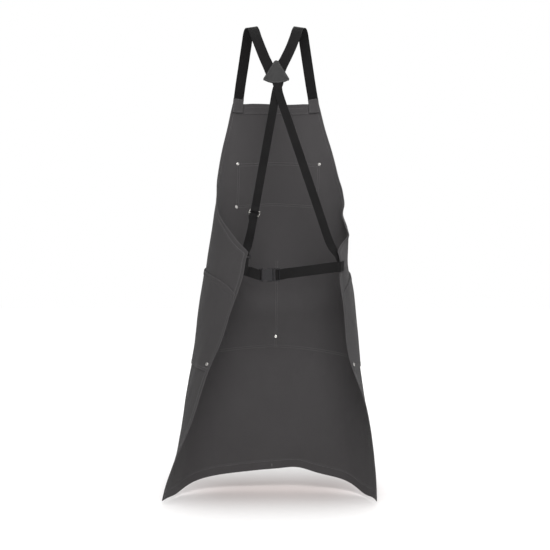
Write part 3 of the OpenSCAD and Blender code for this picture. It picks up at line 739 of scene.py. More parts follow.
def hem_profile(s, v):
    """Heights of the body's outer and inner faces, and how rubbed each point is."""
    side = edge_depth(s, v)
    top, low = v, BODY_LENGTH - v
    nearest = np.minimum(np.minimum(side, top), low)
    turned = np.maximum.reduce([
        hem_height(side, SIDE_HEM), hem_height(top, TOP_HEM), hem_height(low, BOTTOM_HEM)])
    half_t = CANVAS_T / 2 + 0.55 * turned
    middle = CANVAS_T / 2 - 0.25 * turned
    half = rounded(nearest, 1.0, 1.1) * half_t
    rub = 0.95 * (1 - ramp(0.2, 2.2, nearest))
    rub += 0.35 * bump(side, SIDE_HEM, 1.0) + 0.3 * bump(low, BOTTOM_HEM, 1.2)
    return middle + half, middle - half, np.clip(rub, 0, 1)


def seam_dip(depth, where):
    """Cloth drawn in along a row of stitches, and slightly quilted between rows."""
    return -0.22 * bump(depth, where, 1.1)


def build_body():
    s, v = panel_grid()
    outer, inner, rub = hem_profile(s, v)
    side, low = edge_depth(s, v), BODY_LENGTH - v
    dip = (seam_dip(side, SIDE_HEM - 2) + seam_dip(low, BOTTOM_HEM - 3)
           + seam_dip(v, TOP_HEM - 2))
    body = cloth("canvas_body", s, v, outer + dip, inner - dip, rub)
    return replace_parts(body, "apron_panel")


def build_facing():
    """The straight band inside the bib's top edge, between the strap tabs."""
    half = STRAP_INSET - 14
    s, v = np.meshgrid(np.linspace(-half, half, 60),
                       np.concatenate([HEM_STEPS[:5], np.linspace(5, FACING_H - 4, 8),
                                       FACING_H - HEM_STEPS[:5][::-1]]))
    edge = np.minimum.reduce([half - np.abs(s), v, FACING_H - v])
    round_off = rounded(edge, 0.55, 0.8)
    ripple = 0.2 * np.sin(s / 9.0) * bump(v, FACING_H / 2, 9)
    middle = -1.75 + ripple
    rub = 1 - ramp(0.2, 1.6, edge)
    facing = cloth("bib_facing_band", s, v, middle + round_off, middle - round_off, rub)
    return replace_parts(facing, "bib_facing")


def chest_heights(s, v):
    """Height of the chest pocket's inner face and the distance inside its nearest seam."""
    p = CHEST_POCKET
    a = (s - p["middle"]) / (p["width"] / 2)
    k = (v - p["drop"]) / p["height"]
    seam = np.minimum(p["width"] / 2 * (1 - np.abs(a)), p["height"] * (1 - k))
    gape = p["gape"] * (1 - np.clip(a, -1, 1) ** 2) * np.clip(1 - k, 0, 1) ** 1.5
    return CANVAS_T + 0.1 + ramp(2, 16, seam) * (POCKET_GAP - 0.1 + gape), seam


def pocket_cloth(kind, s, v, low, edge, thick, fold):
    """A pocket's cloth over its inner face, with rounded edges and a rubbed mouth fold."""
    half = thick * rounded(edge, 0.5, 0.9)
    middle = low + thick / 2
    rub = 0.9 * (1 - ramp(0.2, 1.8, edge)) + fold
    pocket = cloth(kind + "_pocket_cloth", s, v, middle + half, middle - half,
                   np.clip(rub, 0, 1))
    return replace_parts(pocket, kind + "_pocket")


def build_chest_pocket():
    p = CHEST_POCKET
    half = p["width"] / 2
    across = hemmed(-half, half, np.linspace(-half + 16, half - 16, 58))
    down = hemmed(0, p["height"], np.linspace(15, p["height"] - 15, 36))
    s, v = np.meshgrid(p["middle"] + across, p["drop"] + down)
    low, seam = chest_heights(s, v)
    mouth = v - p["drop"]
    edge = np.minimum(seam, mouth)
    thick = CANVAS_T * (1 + 0.8 * hem_height(mouth, CHEST_FOLD)
                        + 0.5 * hem_height(seam, SEAM_FOLD))
    return pocket_cloth("chest", s, v, low, edge, thick, 0.3 * bump(mouth, CHEST_FOLD, 1.2))


def hip_mouth(s):
    p = HIP_POCKET
    return p["drop"] + p["fall"] * np.minimum(np.abs(s) / p["half"], 1) ** 6


def hip_heights(s, v):
    p = HIP_POCKET
    share = np.minimum(np.abs(s) / p["half"], 1)
    top = hip_mouth(s)
    k = (v - top) / (p["bottom"] - top)
    seam = np.minimum.reduce([p["half"] - np.abs(s), p["bottom"] - v,
                              np.abs(s - p["divide"])])
    gape = p["gape"] * np.sin(np.pi * np.sqrt(share)) ** 4 * np.clip(1 - k, 0, 1) ** 1.5
    gape *= 1 - 0.8 * ramp(120, 210, np.abs(s))
    return CANVAS_T + 0.25 + ramp(1.5, 18, seam) * (POCKET_GAP - 0.1 + gape), seam


def build_hip_pocket():
    p = HIP_POCKET
    half = p["half"]
    middle = p["divide"] + np.array([-7, -4, -2, -0.8, 0, 0.8, 2, 4, 7])
    across = hemmed(-half, half, np.concatenate([
        np.linspace(-half + 16, middle[0] - 4, 66), middle,
        np.linspace(middle[-1] + 4, half - 16, 64)]))
    share = np.concatenate([
        [0, 0.001, 0.003, 0.008, 0.016, 0.026, 0.036, 0.046, 0.052, 0.058, 0.066],
        np.linspace(0.085, 0.95, 38), [0.965, 0.975, 0.985, 0.993, 0.998, 1]])
    s = np.broadcast_to(across, (len(share), len(across)))
    top = hip_mouth(s)
    v = top + (p["bottom"] - top) * share[:, None]
    low, _ = hip_heights(s, v)
    mouth = v - top
    edge = np.minimum.reduce([half - np.abs(s), p["bottom"] - v, mouth])
    thick = CANVAS_T * (1 + 0.9 * hem_height(mouth, HIP_FOLD)
                        + 0.5 * hem_height(p["bottom"] - v, SEAM_FOLD))
    return pocket_cloth("hip", s, v, low, edge, thick, 0.45 * bump(mouth, HIP_FOLD, 1.0))


# Stitches ---------------------------------------------------------------------------------------
# How deep a stitch sinks into the hem, and how far one stands out of the body's inner face
SUNK, INSIDE = 0.12, -0.05


def build_seams():
    seams = Stitching("hem_stitches")
    v = np.linspace(2, BODY_LENGTH - 3, 500)
    across = np.linspace(4 - HALF_SKIRT, HALF_SKIRT - 4, 300)
    rows = [(hand * edge_line(v, SIDE_HEM - 2), v) for hand in (-1, 1)]
    rows.append((across, np.full(across.shape, BODY_LENGTH - BOTTOM_HEM + 3)))
    for s, v in rows:
        outer, inner, _ = hem_profile(s, v)
        seams.on_cloth(s, v, outer - SUNK, inner + SUNK)
    s = np.linspace(-BIB_WIDTH / 2 + 4, BIB_WIDTH / 2 - 4, 120)
    v = np.full(s.shape, float(TOP_HEM - 2))
    outer, _, _ = hem_profile(s, v)
    seams.on_cloth(s, v, outer - SUNK)
    # Inside, the same rows run on the facing band
    s = np.linspace(-STRAP_INSET + 17, STRAP_INSET - 17, 100)
    for drop in (TOP_HEM - 2, FACING_H - 3):
        seams.on_cloth(s, np.full(s.shape, float(drop)), None, -2.3)
    return seams.build()


def build_pocket_seams():
    seams = Stitching("pocket_stitches")

    def row(s, v, heights=None, rise=0.0, inside=None):
        s, v = np.broadcast_arrays(np.asarray(s, float), np.asarray(v, float))
        outer = None if heights is None else heights(s, v)[0] + rise
        seams.on_cloth(s, v, outer, inside)

    p = CHEST_POCKET
    half = p["width"] / 2
    for inset in (2.5, 7.5):
        v = np.linspace(p["drop"] + 2, p["drop"] + p["height"] - inset, 80)
        for hand in (-1, 1):
            row(p["middle"] + hand * (half - inset), v, chest_heights, CANVAS_T + 0.35, INSIDE)
        s = p["middle"] + np.linspace(-half + inset, half - inset, 90)
        row(s, p["drop"] + p["height"] - inset, chest_heights, CANVAS_T + 0.35, INSIDE)
    s = p["middle"] + np.linspace(-half + 3, half - 3, 90)
    for inset in (4, 17):
        row(s, p["drop"] + inset, chest_heights, CANVAS_T * 1.42)
    for inset in (4, 10):
        row(s, p["drop"] + inset, inside=INSIDE)
    h = HIP_POCKET
    s = np.linspace(-h["half"] + 2, h["half"] - 2, 260)
    for inset in (2.5, 8.5):
        row(s, hip_mouth(s) + inset, hip_heights, CANVAS_T * 1.47)
    for inset in (2.5, 7.5):
        row(s, h["bottom"] - inset, hip_heights, CANVAS_T * 1.27, INSIDE)
    v = np.linspace(h["drop"] + 1, h["bottom"] - 2, 120)
    for side in (-2.2, 2.2):
        row(h["divide"] + side, v, hip_heights, CANVAS_T + 0.02, INSIDE)
    return seams.build()


# Straps -----------------------------------------------------------------------------------------
SHOULDER_ROUTE = [
    (-90.2, 82, -126), (-82.2, 66, -80), (-74.3, 45, -36), (-68.3, 21, -7.0), (-64.3, 6, 0.2),
    (-60.8, -4, 0.8), (-57.7, -15, -1.3), (-53.2, -33, -12), (-47, -58, -35),
    (-36.8, -86, -67), (-24.5, -102, -98), (-18, -105.2, -112), (-13, -106.4, -124)]
SHOULDER_SHIFT = 1.5
SHOULDER_SLOPE = 0.14
SHOULDER_W = 26


def over_panel(s, v, n):
    return on_panel(s, v) + n * panel_normal(s, v)


def straight(start, end, count):
    """Points evenly spaced on a straight run, both ends included."""
    return [start + (end - start) * i / (count - 1) for i in range(count)]


def turn_round(centre, r, angles, start, later):
    """Points and outward faces of webbing that turns round a bar, from one axis to another."""
    faces = [math.cos(a) * start + math.sin(a) * later for a in np.radians(angles)]
    return [centre + r * face for face in faces], faces


def shoulder_line(side):
    """Middle points and outward normals of a shoulder strap, from the bib to the patch."""
    depth = PLY_GAP + WIDE_T / 2
    foot = [over_panel(side * (STRAP_INSET + 2), STRAP_OVERLAP, -depth - 1.5),
            over_panel(side * (STRAP_INSET + 1), 8.0, -depth - 1.6),
            over_panel(side * (STRAP_INSET - 1), -8.0, -depth - 1.9)]
    route = [np.array([-side * x + SHOULDER_SHIFT * ramp(-110, -90, y), y, z])
             for x, y, z in SHOULDER_ROUTE]
    path = np.array(foot + route)
    t = unit(np.gradient(path, axis=0))
    slope = side * SHOULDER_SLOPE * bump(path[:, 1], 0, 45) * ramp(-110, -40, path[:, 2])
    normals = unit(np.stack([0 * t[:, 0], t[:, 2], -t[:, 1]], 1))
    normals[:, 0] += slope
    normals[:2] = panel_normal(side * STRAP_INSET, 10.0)
    return path, unit(normals)


def build_shoulder_strap(side, name):
    path, normals = shoulder_line(side)
    strap = ribbon("strap_over_" + name + "_shoulder", path, normals, SHOULDER_W, WIDE_T, WEBBING,
                   slant=-11 * side)
    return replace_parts(strap, "shoulder_strap_" + name)


def build_tab(side, name):
    """The canvas tab over the strap's foot, on the wearer's side, with its box of stitches."""
    path, normals = shoulder_line(side)
    step = 2.0
    p, n = along(path, normals, step)
    reach = int(TAB_REACH / step)
    p, n = p[:reach], unit(n[:reach])
    inside = p - (WIDE_T / 2 + CANVAS_T / 2 + 0.15) * n
    tab = ribbon("strap_tab_" + name + "_cloth", inside, n, TAB_W, CANVAS_T, CANVAS, step=step)
    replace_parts(tab, "strap_tab_" + name)
    across = unit(np.cross(unit(np.gradient(inside, axis=0)), n))
    seams = Stitching("strap_tab_" + name + "_stitches")
    face = inside - (CANVAS_T / 2 + 0.02) * n
    for offset in (-TAB_ROW, TAB_ROW):
        seams.line(face[1:-1] + offset * across[1:-1], -n[1:-1])
    for index in (1, len(face) - 2):
        ends = np.array([face[index] + w * across[index]
                         for w in np.linspace(-TAB_ROW, TAB_ROW, 9)])
        seams.line(ends, np.repeat(-n[index][None], 9, 0))
    return tab, seams.build()


# Back patch -------------------------------------------------------------------------------------
PATCH_W, PATCH_H, PATCH_T, PATCH_LEAN = 62, 55, 1.6, 5
PATCH_CENTRE = np.array([3.0, -107, -130])
PATCH_NORMAL = np.array([0, -math.cos(math.radians(PATCH_LEAN)),
                         math.sin(math.radians(PATCH_LEAN))])
PATCH_UP = np.array([0, math.sin(math.radians(PATCH_LEAN)), math.cos(math.radians(PATCH_LEAN))])


def on_patch(x, z, n):
    x, z, n = (np.asarray(a, float)[..., None] for a in (x, z, n))
    return PATCH_CENTRE + x * np.array([1.0, 0, 0]) + z * PATCH_UP + n * PATCH_NORMAL


def arc(cx, cz, radius, start, end, count):
    a = np.radians(np.linspace(start, end, count))
    return np.stack([cx + radius * np.cos(a), cz + radius * np.sin(a)], 1)


def patch_outline(count=200):
    """A rounded triangle with a narrow top and a bowed lower edge, evenly spaced."""
    corner_r, corner_x, corner_z = 3.2, PATCH_W / 2 - 3.2, 9.6 - PATCH_H / 2
    apex_r, apex_z, bow = 7, PATCH_H / 2 - 7, 58.0
    rise = math.atan2(apex_z - corner_z, corner_x)
    side = 90 - math.degrees(rise + math.asin((apex_r - corner_r)
                                              / math.hypot(corner_x, apex_z - corner_z)))
    low = math.degrees(math.asin(corner_x / (bow - corner_r)))
    pieces = [arc(corner_x, corner_z, corner_r, low - 90, side, 12),
              arc(0, apex_z, apex_r, side, 180 - side, 24),
              arc(-corner_x, corner_z, corner_r, 180 - side, 270 - low, 12),
              arc(0, bow - PATCH_H / 2, bow, 270 - low + 1, 270 + low - 1, 40)]
    loop = np.concatenate(pieces + [pieces[0][:1]])
    run = run_of(loop)
    return read_off(np.arange(count) * run[-1] / count, run, loop)


def inset_loop(loop, distance):
    """The outline moved inwards by a distance."""
    t = unit(np.roll(loop, -1, 0) - np.roll(loop, 1, 0))
    return loop + distance * np.stack([-t[:, 1], t[:, 0]], 1)


def build_patch_layer(name, n_low, outward, node):
    """One layer of the patch, slightly pillowed between its edge stitches and its middle."""
    loop = patch_outline()
    count = len(loop)
    insets = [0, 0.15, 0.5, 1.0, 1.8, 2.5]
    heights = [0.5, 0.78, 0.95, 1.0, 0.95, 0.9]
    top = [inset_loop(loop, d) for d in insets]
    core = top[-1]
    centre = core.mean(0)
    for share, height in ((0.95, 0.92), (0.88, 1.02), (0.75, 1.1), (0.5, 1.12), (0.25, 1.12),
                          (0.08, 1.12)):
        top.append(centre + (core - centre) * share)
        heights.append(height)
    verts, rub = [], []
    for ring, height in zip(top, heights):
        face = PATCH_T * height
        verts.append(on_patch(ring[:, 0], ring[:, 1], np.full(count, n_low + face
                     if outward else n_low + PATCH_T - face)))
        rub.append(np.full(count, float(height < 0.9)))
    back = n_low if outward else n_low + PATCH_T
    for share in (0.995, 0.9):
        ring = centre + (loop - centre) * share
        verts.append(on_patch(ring[:, 0], ring[:, 1], np.full(count, float(back))))
        rub.append(np.zeros(count))
    order = [len(top) + 1, len(top)] + list(range(len(top)))
    verts = [verts[i] for i in order]
    rub = [rub[i] for i in order]
    faces = loft_faces(len(verts), count, flip=not outward)
    layer = add_mesh(name, np.concatenate(verts), faces, PATCH, wear=np.concatenate(rub))
    seams = Stitching(name + "_stitches")
    ring = inset_loop(loop, 2.6)
    ring = np.concatenate([ring, ring[:1]])
    height = n_low + PATCH_T * 0.93 if outward else n_low + PATCH_T * 0.07
    normal = PATCH_NORMAL if outward else -PATCH_NORMAL
    seams.line(on_patch(ring[:, 0], ring[:, 1], np.full(len(ring), height)),
               np.repeat(normal[None], len(ring), 0), pitch=2.8)
    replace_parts(layer, node)
    seams.build()


# Lower straps and their slider ------------------------------------------------------------------
SLIDE_TOP = np.array([4.4, -107.3, -170])
SLIDE_END = np.array([-58.5, -42, -505])
SLIDE_DIR = unit(SLIDE_END - SLIDE_TOP)
STRAP_NORMAL = unit(np.array([0, SLIDE_DIR[2], -SLIDE_DIR[1]]))
CROSS_OFFSET = NARROW_T / 2 + 0.1
SLIDER_PLACE = 0.875
SLIDER_MIDDLE = SLIDE_TOP + (SLIDE_END - SLIDE_TOP) * SLIDER_PLACE
SLIDER_SKEW = 13
BAR_R, LOOP_R = 1.0, 0.8
SLIDER_W, SLIDER_PITCH = 27.5, 7.2
SLIDER_BAR_DROP = 2.6
RUNNING_GAP = 0.3
RING_AT = (-338.0, 358.0)
RING_BAR_R, RING_PITCH = 1.2, 10


def square_to(n, t):
    return unit(n - np.dot(n, t) * t)


RING_OUT = panel_normal(RING_AT[0], RING_AT[1] + 12)
RING_DOWN = square_to(np.array([-0.06, 0, -1]), RING_OUT)


def build_lower_straps():
    """Both lower straps; gives back the point where the left one's doubled end starts."""
    cad_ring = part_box("side_ring")
    middle = np.array((cad_ring[0] + cad_ring[1]) / 2) / MM
    top_bar = middle - RING_DOWN * RING_PITCH / 2
    r = RING_BAR_R + 0.25 + NARROW_T / 2
    turn, faces = turn_round(top_bar, r, np.arange(180, -1, -30), RING_OUT, RING_DOWN)
    behind = top_bar - r * RING_OUT
    path = [on_patch(10.5, -3, -CROSS_OFFSET), on_patch(6.5, -29, -CROSS_OFFSET),
            *straight(SLIDE_TOP, SLIDE_END, 7),
            behind - 20 * RING_DOWN + [4, 1.2, 0], behind - 8 * RING_DOWN, *turn,
            turn[-1] - 6 * RING_DOWN]
    normals = [PATCH_NORMAL] * 2 + [STRAP_NORMAL] * 7 + [RING_OUT] * 2
    normals += [-f for f in faces] + [-RING_OUT]
    left = ribbon("lower_strap_with_slider", path, normals, NARROW_WEB, NARROW_T, WEBBING)
    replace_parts(left, "lower_strap_left")
    foot = turn[-1] - 8 * RING_DOWN

    sewn = PLY_GAP + NARROW_T / 2 + 0.8
    wing = panel_normal(340.0, 350.0)
    start, end = np.array([9, -108, -180]), np.array([130, -78, -531])
    path = [on_patch(-7.5, -3, CROSS_OFFSET), on_patch(3.5, -36, CROSS_OFFSET)]
    path += straight(start, end, 6)
    path += [np.array([137, -79, -546]), np.array([143, -80, -556])]
    path += [over_panel(s, v, -sewn - n)
             for s, v, n in ((345, 353, 2.4), (343, 363, 1.8), (338, 376, 1.2), (333, 388, 1))]
    normals = [PATCH_NORMAL] * 2 + [np.array([0, -1, -0.09])] * 6
    normals += [unit(wing + [-0.6, -1.2, 0]), unit(wing + [-0.2, -0.6, 0])]
    normals += [wing] * 4
    right = ribbon("lower_strap_to_right_wing", path, normals, NARROW_WEB, NARROW_T, WEBBING)
    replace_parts(right, "lower_strap_right")
    return foot


def slider_frame(x, y, z):
    """A point of the slider from its own axes: across the strap, down it and out of it."""
    across = np.cross(SLIDE_DIR, STRAP_NORMAL)
    skew = math.radians(SLIDER_SKEW)
    down = math.cos(skew) * SLIDE_DIR + math.sin(skew) * across
    side = np.cross(down, STRAP_NORMAL)
    return SLIDER_MIDDLE + x * side + y * down + z * STRAP_NORMAL


MIDDLE_RISE = NARROW_T / 2 + RUNNING_GAP + NARROW_T + BAR_R + 0.2
END_DEPTH = NARROW_T / 2 + RUNNING_GAP + BAR_R


def tube(name, points, radius, material, body, closed=False):
    """A round bar bent along the points."""
    p = np.asarray(points, float)
    count, sides = len(p), 14
    if closed:
        t = unit(np.roll(p, -1, 0) - np.roll(p, 1, 0))
    else:
        t = unit(np.gradient(p, axis=0))
    guide = np.array([0.13, 0.27, 0.95])
    frames = []
    for i in range(count):
        guide = square_to(guide, t[i])
        frames.append((guide, np.cross(t[i], guide)))
    angle = np.arange(sides) * 2 * np.pi / sides
    rings = [[p[i] + radius * (math.cos(a) * u + math.sin(a) * w) for a in angle]
             for i, (u, w) in enumerate(frames)]
    verts = np.array(rings).reshape(-1, 3)
    return add_mesh(name, verts, loft_faces(count, sides, closed=closed), material, body)


def build_slider():
    """A bent wire frame round the strap with a raised bar that holds the doubled end."""
    half = SLIDER_W / 2 - BAR_R
    loop = []
    corner = 2.2
    for x_sign, y_sign, start in ((1, 1, 0), (-1, 1, 90), (-1, -1, 180), (1, -1, 270)):
        for a in np.radians(np.linspace(start, start + 90, 8)):
            x = x_sign * (half - corner) + corner * math.cos(a)
            y = y_sign * (SLIDER_PITCH - corner) + corner * math.sin(a)
            loop.append((x, y))
    loop = np.array(loop)
    fine = []
    for a, b in zip(loop, np.roll(loop, -1, 0)):
        steps = max(int(np.linalg.norm(b - a) / 1.2), 1)
        fine += [a + (b - a) * i / steps for i in range(steps)]
    lift = MIDDLE_RISE + END_DEPTH
    points = [slider_frame(x, y, -END_DEPTH + lift * ramp(half - 3.5, half - 0.5, abs(x))
              * (1 - (abs(y) / SLIDER_PITCH) ** 1.5)) for x, y in fine]
    ring = tube("slider_frame", points, LOOP_R, METAL, "slider", closed=True)
    bar = [slider_frame(x, SLIDER_BAR_DROP, MIDDLE_RISE) for x in np.linspace(-half, half, 12)]
    tube("slider_middle_bar", bar, BAR_R, METAL, "slider")
    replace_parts(ring, "strap_slider")
    # The strap humps over the upper bar and dives again, which leaves the dark slot
    hump = [(-20, 0.1), (-15.5, 0.6), (-11, 2.2), (-8, 3.3), (-6, 3.3), (-4.6, 2.2), (-4.2, 0.2)]
    path = [SLIDER_MIDDLE + y * SLIDE_DIR + (NARROW_T / 2 + z) * STRAP_NORMAL for y, z in hump]
    slant = -NARROW_WEB / 2 * math.tan(math.radians(SLIDER_SKEW))
    ribbon("strap_over_slider_bar", path, [STRAP_NORMAL] * len(path), NARROW_WEB + 0.2, 0.9,
           WEBBING, body="slider", step=0.8, slant=slant)


def build_return(foot):
    """The strap's end, back up from the ring and over the slider's raised bar."""
    bar = slider_frame(0, SLIDER_BAR_DROP, MIDDLE_RISE)
    skew = unit(slider_frame(0, 1, 0) - slider_frame(0, 0, 0))
    r = BAR_R + 0.2 + NARROW_T / 2
    turn, faces = turn_round(bar, r, np.arange(-10, 116, 25), STRAP_NORMAL, -skew)
    path = [foot, foot - 14 * RING_DOWN + [3.4, -2, 0]]
    path += [SLIDER_MIDDLE + d * SLIDE_DIR + (NARROW_T + (1.3 if d > 30 else 0.5))
             * STRAP_NORMAL for d in (42, 28, 18)]
    path += [slider_frame(0, 9.5, MIDDLE_RISE + 0.4), *turn]
    normals = [RING_OUT] * 2 + [STRAP_NORMAL] * 4 + faces
    back = ribbon("doubled_strap_end", path, normals, NARROW_WEB - 0.4, NARROW_T, WEBBING,
                  body=None, step=1.2)
    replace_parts(back, "adjuster_return")
    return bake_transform(back)


# Waist belt -------------------------------------------------------------------------------------
MOUTH = np.array([-5, -56, -613.5])
SOCKET_L, BUCKLE_W, BUCKLE_T, PLUG_L = 34, 33, 11, 17
WINDOW_X, WINDOW_R = -18.5, 5.2
RAIL_W, RAIL_INSET = 2.6, 0.8
PRONG_Z = 10.2
SOCKET_BAR_X = MOUTH[0] - SOCKET_L + 2
SOCKET_BAR_R = 1.5
PLUG_BAR_R = 1.1
PLUG_BAR_X = MOUTH[0] + 9.2
PLUG_END_X = MOUTH[0] + PLUG_L - 1.3
BELT_DEPTH = PLY_GAP + WIDE_T / 2
BELT_LIFT = PLUG_BAR_R + RUNNING_GAP + WIDE_T / 2
LEFT_BELT_DROP, RIGHT_BELT_DROP = 389.0, 381.0
AWAY, SIDEWAYS = np.array([0, -1.0, 0]), np.array([1.0, 0, 0])


def by_plug(x, y, z=0.0):
    return np.array([x, MOUTH[1] + y, MOUTH[2] + z])


def build_belt_left():
    r = SOCKET_BAR_R + RUNNING_GAP + 0.15 + WIDE_T / 2
    bar = np.array([SOCKET_BAR_X, MOUTH[1], MOUTH[2]])
    turn, faces = turn_round(bar, r, np.arange(-90, 91, 30), SIDEWAYS, -AWAY)
    sewn = (-318.0, -327.0, -336.0, -345.0)
    edge = over_panel(-float(HALF_SKIRT), LEFT_BELT_DROP, -BELT_DEPTH - 1.6)
    path = [over_panel(s, LEFT_BELT_DROP, -BELT_DEPTH - 1.6) for s in sewn]
    path += [edge + [6, -0.4, -1.6], np.array([-61, -49.5, -606.4]),
             np.array([-52, -54.8, -609.4])]
    near_bar = [np.array([-44, -58.2, -612.3]), np.array([-39.5, bar[1] - r, -613.4])]
    path += near_bar + turn
    path += [near_bar[1] + [0, 5.0, 0], near_bar[0] + [0, 3.2, 0],
             np.array([-52, -51.6, -609.4]), np.array([-61, -46.3, -606.4])]
    normals = [panel_normal(s, LEFT_BELT_DROP) for s in sewn]
    normals += [panel_normal(sewn[-1], LEFT_BELT_DROP)] + [AWAY] * 4 + faces + [-AWAY] * 4
    belt = ribbon("belt_from_left_wing", path, normals, WIDE_WEB, WIDE_T, WEBBING, step=1.5)
    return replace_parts(belt, "belt_left")


def build_belt_right():
    near, far = np.array([18, -54.6, -611.5]), np.array([137, -81, -596])
    path, faces = turn_round(by_plug(PLUG_BAR_X, 0), BELT_LIFT, np.arange(90, 271, 36),
                             SIDEWAYS, -AWAY)
    path += [by_plug(PLUG_BAR_X + 1.4, -BELT_LIFT), by_plug(PLUG_END_X - 1.4, BELT_LIFT),
             by_plug(PLUG_END_X + 1, BELT_LIFT, 0.2)]
    path += [*straight(near, far, 6), np.array([147, -85.2, -595]),
             np.array([152, -87.5, -594.8])]
    path += [over_panel(s, RIGHT_BELT_DROP, CANVAS_T + BELT_DEPTH + (1.4 if s > 345 else 0.5))
             for s in (349.0, 345.0, 339.0, 331.0)]
    wing = panel_normal(334.0, RIGHT_BELT_DROP)
    normals = faces + [AWAY] * 9
    normals += [unit([0.1, -1, 0]), unit([0.3, -1, 0]), unit(wing + [0, -0.4, 0])]
    normals += [wing] * 3
    belt = ribbon("belt_from_right_wing", path, normals, WIDE_WEB, WIDE_T, WEBBING, body=None,
                  step=1.5)
    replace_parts(belt, "belt_right")
    apart = BELT_LIFT + WIDE_T + 0.4
    path = [by_plug(PLUG_BAR_X + 2.2, BELT_LIFT + 0.7), by_plug(PLUG_END_X - 1, apart),
            by_plug(PLUG_END_X + 5, apart, 0.3), np.array([28, -53.7, -610]),
            np.array([52, -59, -607]), np.array([78, -64.8, -603.6])]
    tail = ribbon("belt_free_tail", path, [AWAY] * len(path), WIDE_WEB, WIDE_T, WEBBING,
                  body=None, step=1.5)
    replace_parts(tail, "belt_tail")
    for piece in (belt, tail):
        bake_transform(piece)


# Buckle -----------------------------------------------------------------------------------------
def plate(name, outline, y_low, y_high, bevel, segments=3):
    """A flat moulded plate: an outline in X and Z from the buckle's mouth, with soft edges."""
    mesh = bpy.data.meshes.new(name)
    obj = add_object(name, mesh)
    form = bmesh.new()
    points = [form.verts.new(((MOUTH[0] + x) * MM, (MOUTH[1] + y_low) * MM,
                              (MOUTH[2] + z) * MM)) for x, z in outline]
    face = form.faces.new(points)
    grown = bmesh.ops.extrude_face_region(form, geom=[face])
    moved = [g for g in grown["geom"] if isinstance(g, bmesh.types.BMVert)]
    bmesh.ops.translate(form, verts=moved, vec=(0, (y_high - y_low) * MM, 0))
    bmesh.ops.recalc_face_normals(form, faces=form.faces)
    form.to_mesh(mesh)
    form.free()
    if bevel:
        rounding = obj.modifiers.new("rounding", "BEVEL")
        rounding.width = bevel * MM
        rounding.segments = segments
        rounding.limit_method = "ANGLE"
        rounding.angle_limit = math.radians(40)
    return obj


def rounded_box(x0, x1, z0, z1, radius, count):
    loop = []
    for cx, cz, start in ((x1 - radius, z1 - radius, 0), (x0 + radius, z1 - radius, 90),
                          (x0 + radius, z0 + radius, 180), (x1 - radius, z0 + radius, 270)):
        loop += arc(cx, cz, radius, start, start + 90, count).tolist()
    return loop


def settle(obj):
    """Applies an object's modifiers to its mesh."""
    bpy.context.view_layer.update()
    graph = bpy.context.evaluated_depsgraph_get()
    mesh = bpy.data.meshes.new_from_object(obj.evaluated_get(graph))
    old = obj.data
    obj.modifiers.clear()
    obj.data = mesh
    bpy.data.meshes.remove(old)
    return obj


def cut(obj, *tools):
    for tool in tools:
        settle(tool)
        carve = obj.modifiers.new("cut", "BOOLEAN")
        carve.operation = "DIFFERENCE"
        carve.solver = "EXACT"
        carve.object = tool
        settle(obj)
        bpy.data.objects.remove(tool)
    return obj


def merge(name, parts, material, body):
    """Joins settled parts into one piece with one material."""
    verts, faces = [], []
    for part in parts:
        first = len(verts)
        verts += [tuple(v.co) for v in part.data.vertices]
        faces += [[first + i for i in p.vertices] for p in part.data.polygons]
        bpy.data.objects.remove(part)
    piece = add_mesh(name, np.array(verts) / MM, faces, material, body)
    piece.data.set_sharp_from_angle(angle=math.radians(32))
    return piece


def bar_z(name, x, radius, half):
    """A cross bar of the buckle, with soft ends."""
    loop = arc(0, 0, radius, 0, 360, 25)[:-1]
    mesh = bpy.data.meshes.new(name)
    obj = add_object(name, mesh)
    rings = []
    ends = ((-half, 0.86), (-half + 0.4, 1), (half - 0.4, 1), (half, 0.86))
    for z, size in ends:
        rings += [((x + px * size) * MM, (MOUTH[1] + py * size) * MM, (MOUTH[2] + z) * MM)
                  for px, py in loop]
    mesh.from_pydata(rings, [], loft_faces(len(ends), len(loop)))
    return obj


def side_rails(x0, x1, radius, count, bevel):
    """The two rails that carry the ends of a webbing bar."""
    low, high = RAIL_INSET - BUCKLE_W / 2, BUCKLE_W / 2 - RAIL_INSET - RAIL_W
    return [settle(plate("rail", rounded_box(x0, x1, z, z + RAIL_W, radius, count), -3.5, 3.5,
                         bevel, 4)) for z in (low, high)]


def build_socket():
    """The buckle's socket: a crowned shell with a side window for each prong."""
    half = BUCKLE_W / 2
    back = 6 - SOCKET_L
    outline = rounded_box(back, 0, -half, half, 3, 8)
    shell = settle(plate("socket_shell", outline, -BUCKLE_T / 2, BUCKLE_T / 2, 1.6, 5))
    cavity = plate("cavity", rounded_box(back + 1.9, 3, -13.5, 13.5, 0.6, 3), -3.7, 3.7, 0)
    windows = []
    for side in (-1, 1):
        hole = arc(WINDOW_X, side * half, WINDOW_R, 0, 360, 33)[:-1].tolist()
        windows.append(plate("window", hole, -BUCKLE_T, BUCKLE_T, 0))
    grooves = [plate("groove", rounded_box(x - 0.35, x + 0.35, -9, 9, 0.34, 4), y, y + 1.2, 0)
               for x in (-4.2, -6.2) for y in (-BUCKLE_T / 2 - 0.8, BUCKLE_T / 2 - 0.4)]
    cut(shell, cavity, *windows, *grooves)
    parts = [shell, *side_rails(-SOCKET_L, back + 2.5, 1.1, 5, 1.0)]
    parts.append(bar_z("bar", SOCKET_BAR_X, SOCKET_BAR_R, half - 1.4))
    socket = merge("buckle_socket_shell", parts, PLASTIC, "apron")
    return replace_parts(socket, "buckle_socket")


